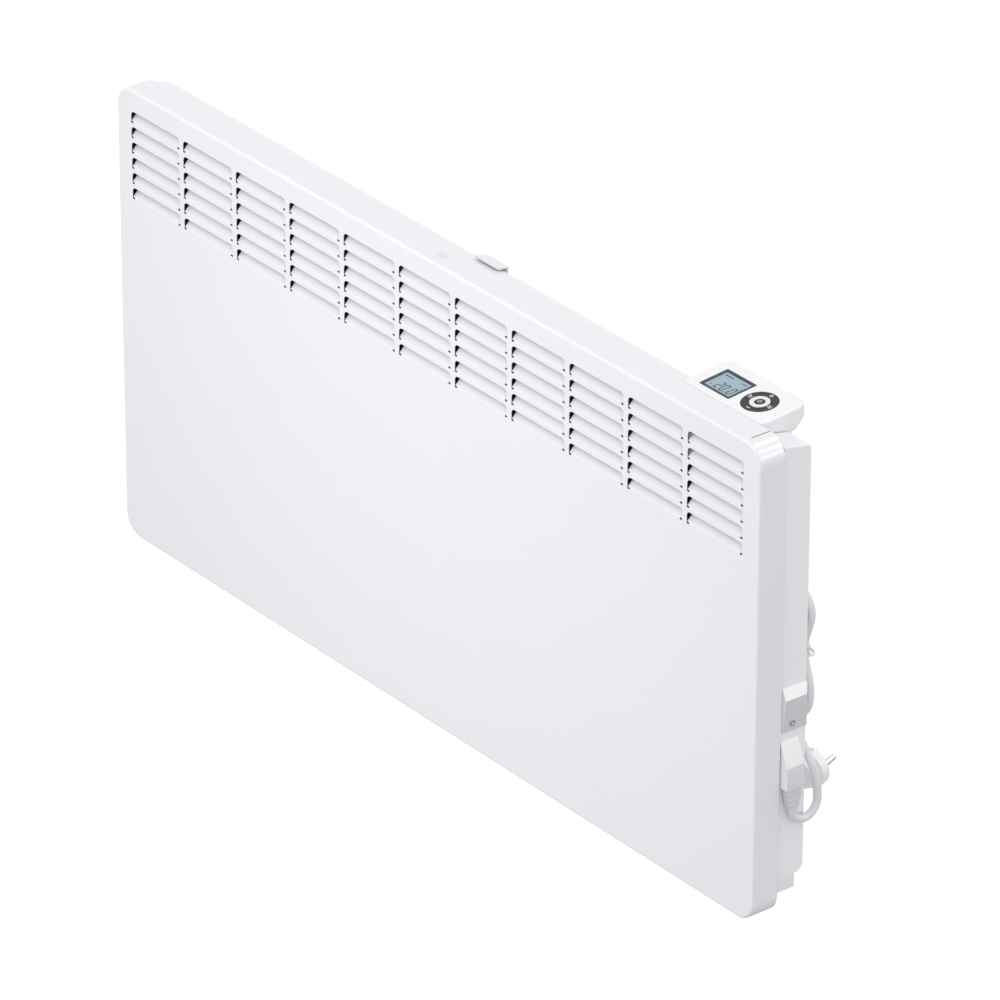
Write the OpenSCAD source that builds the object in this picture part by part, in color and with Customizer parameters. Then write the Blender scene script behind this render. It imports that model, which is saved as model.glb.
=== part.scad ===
// Wall panel convector heater with louvred front cover, top control unit and wall bracket.
// Frame: X to the right seen from the front, Y into the wall, Z up. Origin on the wall plane,
// at the middle of the bracket's fixing holes. d is a depth behind the front face and h a
// height above the cover's lower edge.

/* [Front cover] */
// Width of the front cover
cover_w = 894; // [738:1:1128]
// Height of the front cover
cover_h = 450; // [400:1:560]
// Corner radius of the front cover
cover_corner_r = 20; // [14:0.5:20]
// Thickness of the folded steel sheet
sheet = 1; // [0.8:0.1:1.2]
// Depth of the folded edge of the cover
flange_depth = 27; // [24:0.5:30]
// Depth of the unbroken lip at the cover's corners
corner_lip = 6.5; // [4:0.5:10]
// Width of the seam beside each corner
corner_seam = 0.9; // [0.4:0.1:1]

/* [Louvres] */
// Width of one louvre
louvre_w = 72; // [60:1:74]
// Height of one louvre
louvre_h = 10.5; // [8:0.5:12]
// Sideways step from louvre to louvre
louvre_step_x = 78; // [76:1:90]
// Downward step from row to row
louvre_step_z = 15; // [14:0.5:18]
// Rows of louvres
louvre_rows = 6; // [3:1:8]
// Distance from the cover's top to the first opening
louvre_top = 20.6; // [16:0.2:30]
// Radius of a louvre's upper corners
louvre_corner_r = 4; // [2:0.5:4]
// Inward lean of the louvre flaps in degrees
louvre_lean = 42; // [30:1:48]

/* [Casing] */
// Depth from the front face to the back of the rear panel
casing_depth = 55; // [53:0.5:62]
// Depth from the front face to the wall
wall_depth = 108; // [106:1:125]
// Height of the casing's lower edge above the cover's
casing_foot = 34.6; // [30:0.2:44]
// Drop of the casing's rear top edge below the cover's top
casing_drop = 14.5; // [12:0.5:18]
// Backward slope of the casing's top in degrees
casing_slope = 11.5; // [8:0.5:14]
// Height of the base grille's underside above the cover's lower edge
grille_foot = 21.6; // [16:0.2:26]
// Depth from the front face to the back of the base grille
grille_depth = 46.2; // [43:0.2:50]
// Length of one air slot in the base grille
air_slot_l = 30; // [20:1:34]

/* [Control unit] */
// Width of the control unit
control_w = 101.5; // [100:0.5:110]
// Length of its sloping face from front to rear
control_l = 50.5; // [48:0.5:56]
// Upward tilt of its face in degrees
control_tilt = 5.4; // [3:0.2:8]
// Distance from the cover's right edge to the control unit
control_margin = 32.7; // [24:0.1:60]
// Wall of the control unit's shells
control_wall = 2.2; // [1.8:0.1:2.4]
// Width of the display frame
display_w = 37.8; // [34:0.2:40]
// Length of the display frame
display_l = 31; // [28:0.5:33]
// Width of the display frame's border
display_border = 2.6; // [2:0.1:3.4]
// Outside diameter of the ring of keys
ring_d = 32; // [31:0.5:35]
// Inside diameter of the ring of keys
ring_bore_d = 18.4; // [17:0.2:20]
// Diameter of the power key
power_key_d = 8.8; // [8:0.2:10]
// Travel of the keys
key_travel = 0.8; // [0.5:0.1:0.9]

/* [Heating element] */
// Length of the finned body
element_l = 690; // [400:1:700]
// Span of the element's wings
element_span = 40; // [30:1:42]
// Diameter of the element's sheath
sheath_d = 8.5; // [6.5:0.1:9]
// Height of the element's axis above the cover's lower edge
element_h = 112; // [100:1:130]

/* [Cable outlet and cord] */
// Outer diameter of the mains cord
cord_d = 7.2; // [6.8:0.1:7.4]
// Height of the cord's exit above the cover's lower edge
cord_exit_h = 102.5; // [100:0.5:108]
// How far the cord outlet stands out of the side
outlet_out = 9.6; // [9.5:0.1:12]
// Step from turn to turn in the hank
hank_step = 8.3; // [8.1:0.1:8.5]

/* [Wall bracket] */
// Sideways distance between the bracket's fixing holes
fix_span_x = 300; // [240:5:400]
// Upright distance between the bracket's fixing holes
fix_span_z = 220; // [180:5:240]
// Diameter of the fixing holes
fix_d = 6.5; // [5.5:0.1:7]
// Diameter of the tilt pins
pivot_d = 6; // [5:0.1:7]
// Height of the tilt axis above the cover's lower edge
pivot_h = 60; // [56:1:66]
// Upward travel of the latch
latch_travel = 6; // [4:0.5:7]

/* [Hidden] */

$fn = 48;
eps = 0.01;
overrun = 1;
// Clearance between fixed parts that lie beside each other
gap = 0.2;
// Clearance between soft or moving parts and what they lie beside
soft_gap = 0.4;
// Radial clearance of a pin in its bore
run_gap = 0.05;

// Places of depths and heights in the frame
function dy(d) = d - wall_depth;
function hz(h) = h - cover_h / 2;

half_w = cover_w / 2;
side_x = half_w - sheet - gap;
inner_w = 2 * side_x;

// Louvre pattern
louvre_columns = floor((cover_w - 2 * cover_corner_r - louvre_w) / louvre_step_x) + 1;
louvre_x0 = -(louvre_columns - 1) / 2 * louvre_step_x;
relief_w = 3;
relief_h = 1.2;
flap_root = 0.8 * sheet;

// Brackets and screws of the cover
top_screw_x = 6;
foot_share = 0.39;
cover_bracket_w = 22;
cover_screw_d = 13.4;
cover_screw_r = 4.9;
foot_l = 14;

// Casing profile
casing_top_h = cover_h - casing_drop;
casing_round = 8;
slope_rise = tan(casing_slope);
function casing_top(d) = casing_top_h + (casing_depth - d) * slope_rise;
shoulder_d = flange_depth + gap;
shoulder_h = cover_h - cover_corner_r - 2 * sheet;
side_front_d = 8;
top_front_d = 14;
air_slot_w = 5;
air_slot_step_x = 36;
air_slot_step_d = 9;
air_slot_rows = 3;
air_slot_front_d = 14;
grille_lip = 12;

// Control unit
// Screws and small sizes of folded parts
screw_r = 3;
screw_head = 1.6;
slot_w = 0.8;
control_x = half_w - control_margin - control_w / 2;
control_front_d = flange_depth + 2 * gap;
control_front_h = cover_h + 3 * gap;
control_corner_r = 10;
seam_front = 11.7;
rear_wall_h = 7.5;
seam_rear = 20.5;
seam_back = 34;
seam_front_back = -1;
seam_gap = 0.35;
neck_rear_d = 62;
neck_lean = 1.4;
neck_lean_h = 12;
neck_drop = 46;
neck_depth = 72;
neck_foot_h = cover_h - neck_drop;
neck_in_h = cover_h - neck_depth;
neck_inset = 0.6;
base_step = 1.6;
base_front_d = flange_depth + base_step;
lead_slot_l = 72;
lead_slot_d = 33;
lead_slot_w = 18;
control_screw_drop = 14;
power_board_d = 44;
power_board_drop = 48;
power_board_h = cover_h - power_board_drop;
power_board_l = 34;
relay_w = 28;
relay_l = 12;
relay_t = 10;
terminal_pitch = 8;
terminal_d = 9;
terminal_h = 10;
terminal_bore = 5;
terminal_x = 8;
lead_top = 8;
lead_drop = 24;
lead_pitch = 3.6;
lead_inset = 14;
end_turn = 10;
end_rise = 30;
earth_r = 3;
earth_l = 6;
sensor_w = 10;
sensor_t = 8;
sensor_h = 16;
sensor_in = 40;
sensor_up = 14;
face_middle = 22.4;
display_x = -18.7;
ring_x = 22.2;
key_gap = 0.35;
key_cap = 0.3;
key_lip = 1.2;
key_lip_t = 0.8;
key_slot = 0.6;
board_t = 1.6;
window_sink = 0.6;
leg_w = 1.6;
leg_t = 1.4;
switch_side = 6;
switch_h = 0.75;
board_depth = control_wall + key_gap + key_lip_t + key_travel + switch_h + run_gap;
key_r = (ring_d / 2 + ring_bore_d / 2) / 2;

// Inside of the casing
rear_in_d = casing_depth - sheet;
baffle_d = 47;
baffle_foot_h = 72;
baffle_drop = 130;
baffle_top_h = cover_h - baffle_drop;
baffle_side = 75;
baffle_w = cover_w - 2 * baffle_side;
baffle_sheet = 0.6;
wing_t = 1.6;
hub_wall = 2;
hub_r = sheath_d / 2 + hub_wall;
element_d = 26;
bush_r = 8;
bush_l = 12;
sheath_out = 26;
bracket_t = 1;
bracket_foot = 12;
bracket_half = 15;
terminal_r = 2;
terminal_l = 10;
lead_r = 1.3;
cutout_x = 200;
cutout_above = 70;
cutout_h = element_h + cutout_above;
cutout_r = 8;
cutout_t = 7;
tab_w = 4;
tab_l = 6;
tab_t = 0.8;
wire_bend = 12;
wire_sides = 8;

// Cable outlet on the right-hand side
box_ridge_out = 5;
box_foot_out = 1.4;
box_front_d = 29.3;
box_rear_d = casing_depth;
outlet_rise = 64.1;
outlet_ridge_rise = 42;
outlet_foot_rise = 20.5;
outlet_top_h = cord_exit_h + outlet_rise;
outlet_ridge_h = cord_exit_h + outlet_ridge_rise;
outlet_foot_h = cord_exit_h + outlet_foot_rise;
box_gap = 8;
box_rise = 32;
box_slope = 10;
box_foot_h = outlet_top_h + box_gap;
box_ridge_h = box_foot_h + box_rise;
box_top_h = box_ridge_h + box_slope;
outlet_front_d = 28;
outlet_rear_d = 47;
cord_exit_d = 37.5;
relief_top_w = 16;
relief_foot_w = 12;
relief_step = 5;
cord_wall = 1.2;
cord_socket_r = cord_d / 2 - sheet;
cord_socket_l = 14;
box_chamfer = 5;
box_screw_d = 9.5;
box_screw_h = 8;
lead_hole_d = 18;
cord_x = side_x + outlet_out - cord_d / 2 - cord_wall;

// Mains cord from the outlet to the hank, as steps from its exit
cord_route = [[0, 0, 0], [0, 0.9, -4.9], [0, 3.5, -9.2], [0, 7.3, -12.4], [0, 11.8, -14.1],
              [0, 16.5, -14.1], [0, 21, -12.4], [0, 24.8, -9.2], [0, 27.2, -4.9], [0, 28.2, 0.2],
              [0, 28, 9], [-0.6, 27, 18.6], [-2.4, 25.4, 28.2], [-6, 23.9, 37.1],
              [-11.3, 22.9, 44.9], [-17.9, 22.7, 50.9], [-25, 22.7, 54.9], [-32, 22.7, 56.9],
              [-38.9, 22.7, 57.3]];
cord_sides = 10;

// Hank of folded cord behind the right-hand end
hank_layer = 8.8;
hank_run = 37.9;
hank_r0 = 31;
hank_waist = 9;
hank_waist_up = 4.4;
hank_rings = 24;
hank_sides = 6;
hank_fineness = 4;
tie_h = 7;
tie_t = 1.2;

// Free cord from the hank to the plug, as steps from the hank's end
plug_route = [[0, 0, 0], [-0.7, 0, -5.7], [-2.6, -0.1, -11], [-5.7, -0.3, -15.8],
              [-9.6, -0.6, -19.9], [-13.7, -0.9, -23.9], [-17.5, -1.2, -28.2], [-19.6, -0.9, -33.5],
              [-19.7, -0.2, -39.2]];

// Plug
plug_yaw = 14;
plug_tilt = 8.5;
plug_turn = 12;
plug_r = 18.5;
plug_rim = 9;
plug_back_r = 15.5;
plug_t = 18;
plug_sleeve = 41;
plug_sleeve_r0 = 8;
plug_sleeve_r1 = 4.8;
plug_axis = 10;
pin_r = 2.4;
pin_l = 19;
pin_pitch = 19;
clip_w = 6;
clip_t = 1;
clip_cut = 2.6;

// Wall bracket
strap_w = 30;
strap_t = 1.5;
strap_over = 35;
strap_h = fix_span_z + 2 * strap_over;
rail_h = 24;
rail_in = 4;
rail_top_h = cover_h / 2 + fix_span_z / 2 + rail_in;
rail_foot_h = cover_h / 2 - fix_span_z / 2 - rail_h - rail_in;
pivot_out = 9;
pivot_d0 = casing_depth + pivot_out;
arm_t = 3;
arm_r = 8;
ear_t = 2;
ear_inner = 5;
ear_foot = 10;
pad_r = 9;
pad_t = 3;
pad_drop = 84;
pad_h = cover_h - pad_drop;
guide_t = 1;
guide_lap = 3;
latch_x = 24;
latch_w = 32;
latch_t = 1.5;
latch_tongue_d = 47.5;
latch_gap = 0.4;
latch_pad_t = 1.5;
latch_room = 8;
latch_back_d = wall_depth - latch_room;
latch_under = 16;
latch_foot_h = rail_top_h - latch_under;
latch_shelf = 10;
latch_inset = 2;
latch_bend_over = 14;
spring_r = 2.2;
spring_wire_r = 0.4;
spring_turns = 8;
spring_h = 4 * latch_travel;
spring_rings = 8;
lug_l = 4.6;
lug_w = 12;
lug_t = 2;

// Head of a screw with crossed slots, standing on the origin
module screw_top(r, t) {
    difference() {
        cylinder(r = r, h = t);
        for (a = [0, 90])
            rotate([0, 0, a])
                translate([-r / 2, -slot_w / 2, t / 2])
                    cube([r, slot_w, t]);
    }
}

// Rectangle with round corners about the origin
module round_rect(w, h, r) {
    square([w - 2 * r, h], center = true);
    square([w, h - 2 * r], center = true);
    for (x = [-1, 1], y = [-1, 1])
        translate([x * (w / 2 - r), y * (h / 2 - r)])
            circle(r);
}

// Stands a flat shape upright, from depth d0 back to d0 + t
module upright(d0, t) {
    translate([0, dy(d0 + t), 0])
        rotate([90, 0, 0])
            linear_extrude(t)
                children();
}

// Lays a depth and height outline along X, from x0 over a width w
module sideways(x0, w) {
    translate([x0, 0, 0])
        rotate([90, 0, 90])
            linear_extrude(w)
                children();
}

// Depth and height points in the frame
function dh(points) = [for (p = points) [dy(p[0]), hz(p[1])]];

// Block between two corners given as x, d and h
module block(a, b) {
    translate([a[0], dy(a[1]), hz(a[2])])
        cube([b[0] - a[0], b[1] - a[1], b[2] - a[2]]);
}

// Tube through ring centres: each ring is square to the line through its neighbours
function unit(v) = v / norm(v);
function tube_ring(p, tangent, side, r, n) =
    let (u = unit(cross(tangent, side)), w = cross(tangent, u))
    [for (k = [0 : n - 1]) p + r * (cos(360 * k / n) * u + sin(360 * k / n) * w)];
module tube(path, r, n, side, start, end) {
    m = len(path);
    tangents = [for (i = [0 : m - 1])
        i == 0 ? start : i == m - 1 ? end : unit(path[i + 1] - path[i - 1])];
    rings = [for (i = [0 : m - 1]) each tube_ring(path[i], tangents[i], side, r, n)];
    points = concat(rings, [path[0], path[m - 1]]);
    walls = [for (i = [0 : m - 2], k = [0 : n - 1])
        let (a = i * n + k, b = i * n + (k + 1) % n)
        each [[a, b, b + n], [a, b + n, a + n]]];
    caps = [for (k = [0 : n - 1])
        each [[m * n, (k + 1) % n, k],
              [m * n + 1, (m - 1) * n + k, (m - 1) * n + (k + 1) % n]]];
    polyhedron(points = points, faces = concat(walls, caps), convexity = 10);
}

// Wire through points given as x, d and h, its corners cut back by up to a bend
wire_side = [1, 2, 3];
function corner(a, b, c) =
    let (u = unit(a - b), v = unit(c - b),
         k = min(wire_bend, norm(a - b) / 3, norm(c - b) / 3))
    [b + k * u, b + k * (u + v) / 4, b + k * v];
module wire(points, r) {
    p = [for (q = points) [q[0], dy(q[1]), hz(q[2])]];
    n = len(p) - 1;
    inner = n < 2 ? [] : [for (i = [1 : n - 1]) each corner(p[i - 1], p[i], p[i + 1])];
    tube(concat([p[0]], inner, [p[n]]), r, wire_sides, wire_side, unit(p[1] - p[0]), unit(p[n] - p[n - 1]));
}

// Flat outline of one louvre, its lower edge at zero
module louvre_shape(relief) {
    difference() {
        translate([0, louvre_h / 2])
            union() {
                translate([0, -louvre_corner_r / 2])
                    square([louvre_w, louvre_h - louvre_corner_r], center = true);
                translate([0, louvre_h / 2 - louvre_corner_r])
                    square([louvre_w - 2 * louvre_corner_r, 2 * louvre_corner_r], center = true);
                for (x = [-1, 1])
                    translate([x * (louvre_w / 2 - louvre_corner_r), louvre_h / 2 - louvre_corner_r])
                        circle(louvre_corner_r, $fn = 24);
            }
        if (relief)
            for (x = [-1, 1])
                translate([x * (louvre_w / 2 - relief_w / 2), 0])
                    square([relief_w, 2 * relief_h], center = true);
    }
}

module louvre_places() {
    for (i = [0 : louvre_columns - 1], j = [0 : louvre_rows - 1])
        translate([louvre_x0 + i * louvre_step_x,
                   cover_h / 2 - louvre_top - louvre_h - j * louvre_step_z])
            children();
}

// Folded steel front cover with its louvres
module front_cover() {
    color("whitesmoke") {
        difference() {
            union() {
                upright(0, sheet)
                    difference() {
                        round_rect(cover_w, cover_h, cover_corner_r);
                        louvre_places() louvre_shape(false);
                    }
                upright(0, flange_depth)
                    difference() {
                        round_rect(cover_w, cover_h, cover_corner_r);
                        round_rect(cover_w - 2 * sheet, cover_h - 2 * sheet, cover_corner_r - sheet);
                    }
            }
            for (x = [-1, 1], z = [-1, 1])
                translate([x * (half_w - cover_corner_r), dy(corner_lip), z * (cover_h - sheet) / 2])
                    translate([-corner_seam / 2, 0, -sheet])
                        cube([corner_seam, flange_depth, 2 * sheet]);
            bracket_holes(screw_r / 2 + gap);
        }
        for (i = [0 : louvre_columns - 1], j = [0 : louvre_rows - 1])
            translate([louvre_x0 + i * louvre_step_x, dy(sheet),
                       cover_h / 2 - louvre_top - louvre_h - flap_root - j * louvre_step_z])
                rotate([-louvre_lean, 0, 0])
                    rotate([90, 0, 0])
                        linear_extrude(sheet)
                            louvre_shape(true);
    }
}

// Places of the four folded brackets that hold the cover: one at the top, three at the foot
cover_bracket_x = [top_screw_x, -foot_share * cover_w, 0, foot_share * cover_w];
module bracket_holes(r) {
    for (i = [0 : 3])
        translate([cover_bracket_x[i], dy(cover_screw_d), i == 0 ? cover_h / 2 - 4 * sheet : -cover_h / 2 - 2 * sheet])
            cylinder(r = r, h = 6 * sheet, $fn = 24);
}

// Sheet strips folded between the cover's edge and the casing
module cover_brackets() {
    top = cover_h - sheet;
    back = cover_screw_d + foot_l / 2;
    front = cover_screw_d - foot_l / 2;
    color("gainsboro")
        difference() {
            union() {
                sideways(cover_bracket_x[0] - cover_bracket_w / 2, cover_bracket_w)
                    polygon(dh([[front, top], [front, top - sheet], [back, top - sheet], [back, casing_top(back)],
                                [back + sheet, casing_top(back + sheet)], [back + sheet, top]]));
                for (i = [1 : 3])
                    sideways(cover_bracket_x[i] - cover_bracket_w / 2, cover_bracket_w)
                        polygon(dh([[front, sheet], [front, 2 * sheet], [back, 2 * sheet], [back, grille_foot],
                                    [back + sheet, grille_foot], [back + sheet, sheet]]));
            }
            bracket_holes(screw_r / 2);
        }
}

// Screws that hold the cover to its brackets
module cover_screws() {
    color("silver")
        for (i = [0 : 3])
            translate([cover_bracket_x[i], dy(cover_screw_d), i == 0 ? cover_h / 2 : -cover_h / 2])
                rotate([i == 0 ? 0 : 180, 0, 0]) {
                    screw_top(cover_screw_r, screw_head / 2);
                    translate([0, 0, -5 * sheet])
                        cylinder(r = screw_r / 2, h = 5 * sheet + eps, $fn = 24);
                }
}

// Side outline of the casing's cheeks
module cheek_shape() {
    difference() {
        polygon(dh([[side_front_d, shoulder_h], [shoulder_d, shoulder_h],
                    [shoulder_d, casing_top(shoulder_d)], [casing_depth, casing_top_h],
                    [casing_depth, casing_foot], [side_front_d, casing_foot]]));
        translate([dy(casing_depth - casing_round), hz(casing_foot + casing_round)])
            difference() {
                translate([0, -casing_round - overrun])
                    square([casing_round + overrun, casing_round + overrun]);
                circle(casing_round);
            }
    }
}

// Casing folded from sheet: rear panel, cheeks and sloping top
module rear_casing() {
    neck_x0 = control_x - control_w / 2 - sheet;
    neck_x1 = control_x + control_w / 2 + sheet;
    color("whitesmoke")
        difference() {
            union() {
                for (x = [-side_x, side_x - sheet])
                    sideways(x, sheet)
                        cheek_shape();
                intersection() {
                    sideways(-side_x, inner_w)
                        difference() {
                            cheek_shape();
                            translate([-sheet, 0])
                                difference() {
                                    cheek_shape();
                                    translate([dy(casing_depth) - 2 * casing_round, hz(casing_foot)])
                                        square([2 * casing_round, sheet]);
                                }
                        }
                    block([-side_x, rear_in_d - casing_round, casing_foot], [side_x, casing_depth, casing_top_h]);
                }
                sideways(-side_x, inner_w)
                    polygon(dh([[shoulder_d, casing_top(shoulder_d)], [casing_depth, casing_top_h],
                                [casing_depth, casing_top_h - sheet],
                                [shoulder_d, casing_top(shoulder_d) - sheet]]));
                sideways(-half_w + cover_corner_r + 2 * sheet, cover_w - 2 * cover_corner_r - 4 * sheet)
                    polygon(dh([[top_front_d, casing_top(top_front_d)],
                                [shoulder_d + eps, casing_top(shoulder_d)],
                                [shoulder_d + eps, casing_top(shoulder_d) - sheet],
                                [top_front_d, casing_top(top_front_d) - sheet]]));
            }
            block([neck_x0, top_front_d - overrun, neck_foot_h - 2 * sheet], [neck_x1, casing_depth + overrun, cover_h]);
            translate([side_x - 2 * sheet, dy(box_hole_d), hz(box_hole_h)])
                rotate([0, 90, 0])
                    cylinder(r = lead_hole_d / 2, h = 4 * sheet);
            cable_screw_places()
                cylinder(r = screw_r / 2, h = 4 * sheet, center = true, $fn = 24);
            control_screw_places()
                cylinder(r = screw_r / 2, h = 4 * sheet, center = true, $fn = 24);
        }
}

// Slotted base grille under the casing
module base_grille() {
    slots = floor((inner_w - 2 * air_slot_l) / air_slot_step_x);
    color("whitesmoke")
        difference() {
            union() {
                block([-side_x, side_front_d, grille_foot], [side_x, grille_depth, grille_foot + sheet]);
                block([-side_x, grille_depth - sheet, grille_foot], [side_x, grille_depth, casing_foot]);
                block([-side_x, side_front_d, grille_foot], [side_x, side_front_d + sheet, grille_foot + grille_lip]);
                for (x = [-side_x, side_x - sheet])
                    block([x, side_front_d, grille_foot], [x + sheet, grille_depth, casing_foot]);
            }
            for (i = [0 : slots - 1], j = [0 : air_slot_rows - 1])
                translate([(i - (slots - 1) / 2) * air_slot_step_x, dy(air_slot_front_d + j * air_slot_step_d), hz(grille_foot)])
                    translate([-air_slot_l / 2, -air_slot_w / 2, -overrun])
                        cube([air_slot_l, air_slot_w, sheet + 2 * overrun]);
        }
}

// Sheet behind the element that keeps the rear panel cool
module heat_baffle() {
    color("silver")
        sideways(-baffle_w / 2, baffle_w)
            polygon(dh([[baffle_d, baffle_foot_h], [rear_in_d, baffle_foot_h],
                        [rear_in_d, baffle_foot_h + baffle_sheet],
                        [baffle_d + baffle_sheet, baffle_foot_h + baffle_sheet],
                        [baffle_d + baffle_sheet, baffle_top_h - baffle_sheet],
                        [rear_in_d, baffle_top_h - baffle_sheet], [rear_in_d, baffle_top_h],
                        [baffle_d, baffle_top_h]]));
}

// Places a part along the element's axis, its length along X
module on_element(x) {
    translate([x, dy(element_d), hz(element_h)])
        rotate([0, 90, 0])
            children();
}

// Finned body of the element: a hub with four diagonal wings and a web between each pair
module element_wings() {
    color("silver")
        on_element(-element_l / 2)
            linear_extrude(element_l)
                difference() {
                    union() {
                        circle(hub_r);
                        for (a = [45, 135])
                            rotate(a)
                                square([element_span, wing_t], center = true);
                        for (a = [0, 90])
                            rotate(a)
                                square([element_span / 2, wing_t], center = true);
                    }
                    circle(sheath_d / 2 + run_gap);
                }
}

// Steel sheath through the element with a terminal at each end
module element_sheath() {
    color("dimgray") {
        on_element(-element_l / 2 - sheath_out)
            cylinder(r = sheath_d / 2, h = element_l + 2 * sheath_out);
        for (x = [-1, 1])
            on_element(x > 0 ? element_l / 2 + sheath_out - eps : -element_l / 2 - sheath_out - terminal_l + eps)
                cylinder(r = terminal_r, h = terminal_l);
    }
}

// Soft bushes that carry the sheath's ends
module element_bushes() {
    color("tomato")
        for (x = [-1, 1])
            on_element(x > 0 ? element_l / 2 + gap : -element_l / 2 - bush_l - gap)
                difference() {
                    cylinder(r = bush_r, h = bush_l);
                    translate([0, 0, -overrun])
                        cylinder(r = sheath_d / 2 + run_gap, h = bush_l + 2 * overrun);
                }
}

// Sheet brackets that hold the bushes to the rear panel
module element_brackets() {
    color("gainsboro")
        for (x = [-1, 1]) {
            middle = x * (element_l / 2 + gap + bush_l / 2);
            difference() {
                union() {
                    block([middle - bracket_t / 2, element_d - bracket_half, element_h - bracket_half],
                          [middle + bracket_t / 2, rear_in_d, element_h + bracket_half]);
                    block([x > 0 ? middle - bracket_t / 2 : middle - bracket_foot + bracket_t / 2,
                           rear_in_d - bracket_t, element_h - bracket_half],
                          [x > 0 ? middle + bracket_foot - bracket_t / 2 : middle + bracket_t / 2,
                           rear_in_d, element_h + bracket_half]);
                }
                on_element(middle - bracket_t)
                    cylinder(r = bush_r + run_gap, h = 2 * bracket_t);
                block([-baffle_w / 2 - gap, baffle_d - gap, element_h - bracket_half - overrun],
                      [baffle_w / 2 + gap, baffle_d + baffle_sheet + gap, element_h + bracket_half + overrun]);
            }
        }
}

// Overheat limiter on a plate above the element
module thermal_cutout() {
    front = baffle_d - sheet - cutout_t;
    color("darkslategray") {
        block([cutout_x - 2 * cutout_r, baffle_d - sheet, cutout_h - cutout_r],
              [cutout_x + 2 * cutout_r, baffle_d, cutout_h + cutout_r]);
        translate([cutout_x, dy(front), hz(cutout_h)])
            rotate([-90, 0, 0])
                cylinder(r = cutout_r, h = cutout_t + eps);
        for (x = [-1, 1])
            block([cutout_x + x * cutout_r / 2 - tab_w / 2, front - tab_l, cutout_h - tab_t / 2],
                  [cutout_x + x * cutout_r / 2 + tab_w / 2, front + eps, cutout_h + tab_t / 2]);
    }
}

// Frame of the control unit's sloping face: x across, y up the slope, z out of the face
module on_face() {
    translate([control_x, dy(control_front_d), hz(control_front_h)])
        rotate([control_tilt, 0, 0])
            children();
}

// Plan outline of the control unit in the face's frame, drawn in by an inset
module control_plan(inset) {
    w = control_w - 2 * inset;
    l = control_l - 2 * inset;
    back_r = control_corner_r - inset;
    translate([-w / 2, seam_front_back + inset]) {
        square([w, l - back_r - seam_front_back]);
        translate([back_r, 0])
            square([w - 2 * back_r, l - seam_front_back]);
    }
    for (x = [-1, 1])
        translate([x * (w / 2 - back_r), control_l - inset - back_r])
            circle(back_r);
}

// Side outline of the control head in the face's frame, drawn in by an inset
module head_profile(inset) {
    polygon([[inset, -inset], [control_l - inset, -inset], [control_l - inset, -rear_wall_h - inset / 2],
             [seam_back - inset, -seam_rear - (inset > 0 ? overrun : 0)],
             [seam_front_back + inset, -seam_front - (inset > 0 ? overrun : 0)]]);
}
module head_block(inset) {
    intersection() {
        translate([-control_w / 2 + inset, 0, 0])
            rotate([90, 0, 90])
                linear_extrude(control_w - 2 * inset)
                    head_profile(inset);
        translate([0, 0, -seam_rear - 2 * overrun])
            linear_extrude(seam_rear + 3 * overrun)
                control_plan(inset);
    }
}

// Upper shell of the control unit with the openings for display and keys
module control_head() {
    color("white")
        on_face()
            difference() {
                head_block(0);
                head_block(control_wall);
                translate([display_x, face_middle, 0])
                    cube([display_w + 2 * gap, display_l + 2 * gap, 4 * control_wall], center = true);
                translate([ring_x, face_middle, -2 * control_wall])
                    cylinder(r = ring_d / 2 + key_gap, h = 4 * control_wall);
            }
}

// Lower shell of the control unit: the neck that stands in the casing
module control_base() {
    seam_drop = tan(atan2(seam_rear - seam_front, seam_back - seam_front_back) - control_tilt);
    function seam_h(d) = control_front_h - seam_front / cos(control_tilt) - seam_gap
        - (d - control_front_d) * seam_drop;
    x0 = control_x - control_w / 2 + neck_inset;
    w = control_w - 2 * neck_inset;
    t = control_wall;
    top_d = neck_rear_d - neck_lean;
    back = rear_in_d - gap;
    color("white")
        difference() {
            sideways(x0, w)
                polygon(dh([[base_front_d, seam_h(base_front_d)], [top_d, seam_h(top_d)],
                            [neck_rear_d, neck_foot_h + neck_lean_h], [neck_rear_d, neck_foot_h],
                            [back, neck_foot_h], [back, neck_in_h], [base_front_d, neck_in_h]]));
            sideways(x0 + t, w - 2 * t)
                polygon(dh([[base_front_d + t, cover_h], [top_d - t, cover_h],
                            [neck_rear_d - t, neck_foot_h + neck_lean_h], [neck_rear_d - t, neck_foot_h + t],
                            [back - t, neck_foot_h + t], [back - t, neck_in_h + t], [base_front_d + t, neck_in_h + t]]));
            block([control_x - lead_slot_l / 2, lead_slot_d, neck_in_h - overrun],
                  [control_x + lead_slot_l / 2, lead_slot_d + lead_slot_w, neck_in_h + t + overrun]);
        }
}

// Screws that hold the neck to the rear panel
module control_screw_places() {
    for (x = [-1, 1])
        translate([control_x + x * control_w / 4, dy(casing_depth), hz(neck_foot_h - control_screw_drop)])
            rotate([-90, 0, 0])
                children();
}
module control_screws() {
    color("silver")
        control_screw_places() {
            screw_top(screw_r, screw_head);
            translate([0, 0, -sheet])
                cylinder(r = screw_r / 2, h = sheet + eps, $fn = 24);
        }
}

// Power board inside the neck, held in the neck's side walls
module power_board() {
    half = control_w / 2 - neck_inset - control_wall;
    color("darkgreen")
        block([control_x - half, power_board_d, power_board_h - power_board_l / 2],
              [control_x + half, power_board_d + board_t, power_board_h + power_board_l / 2]);
}

module power_relay() {
    color("black")
        block([control_x - relay_w, power_board_d - relay_t, power_board_h - relay_l / 2],
              [control_x, power_board_d, power_board_h + relay_l / 2]);
}

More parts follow.
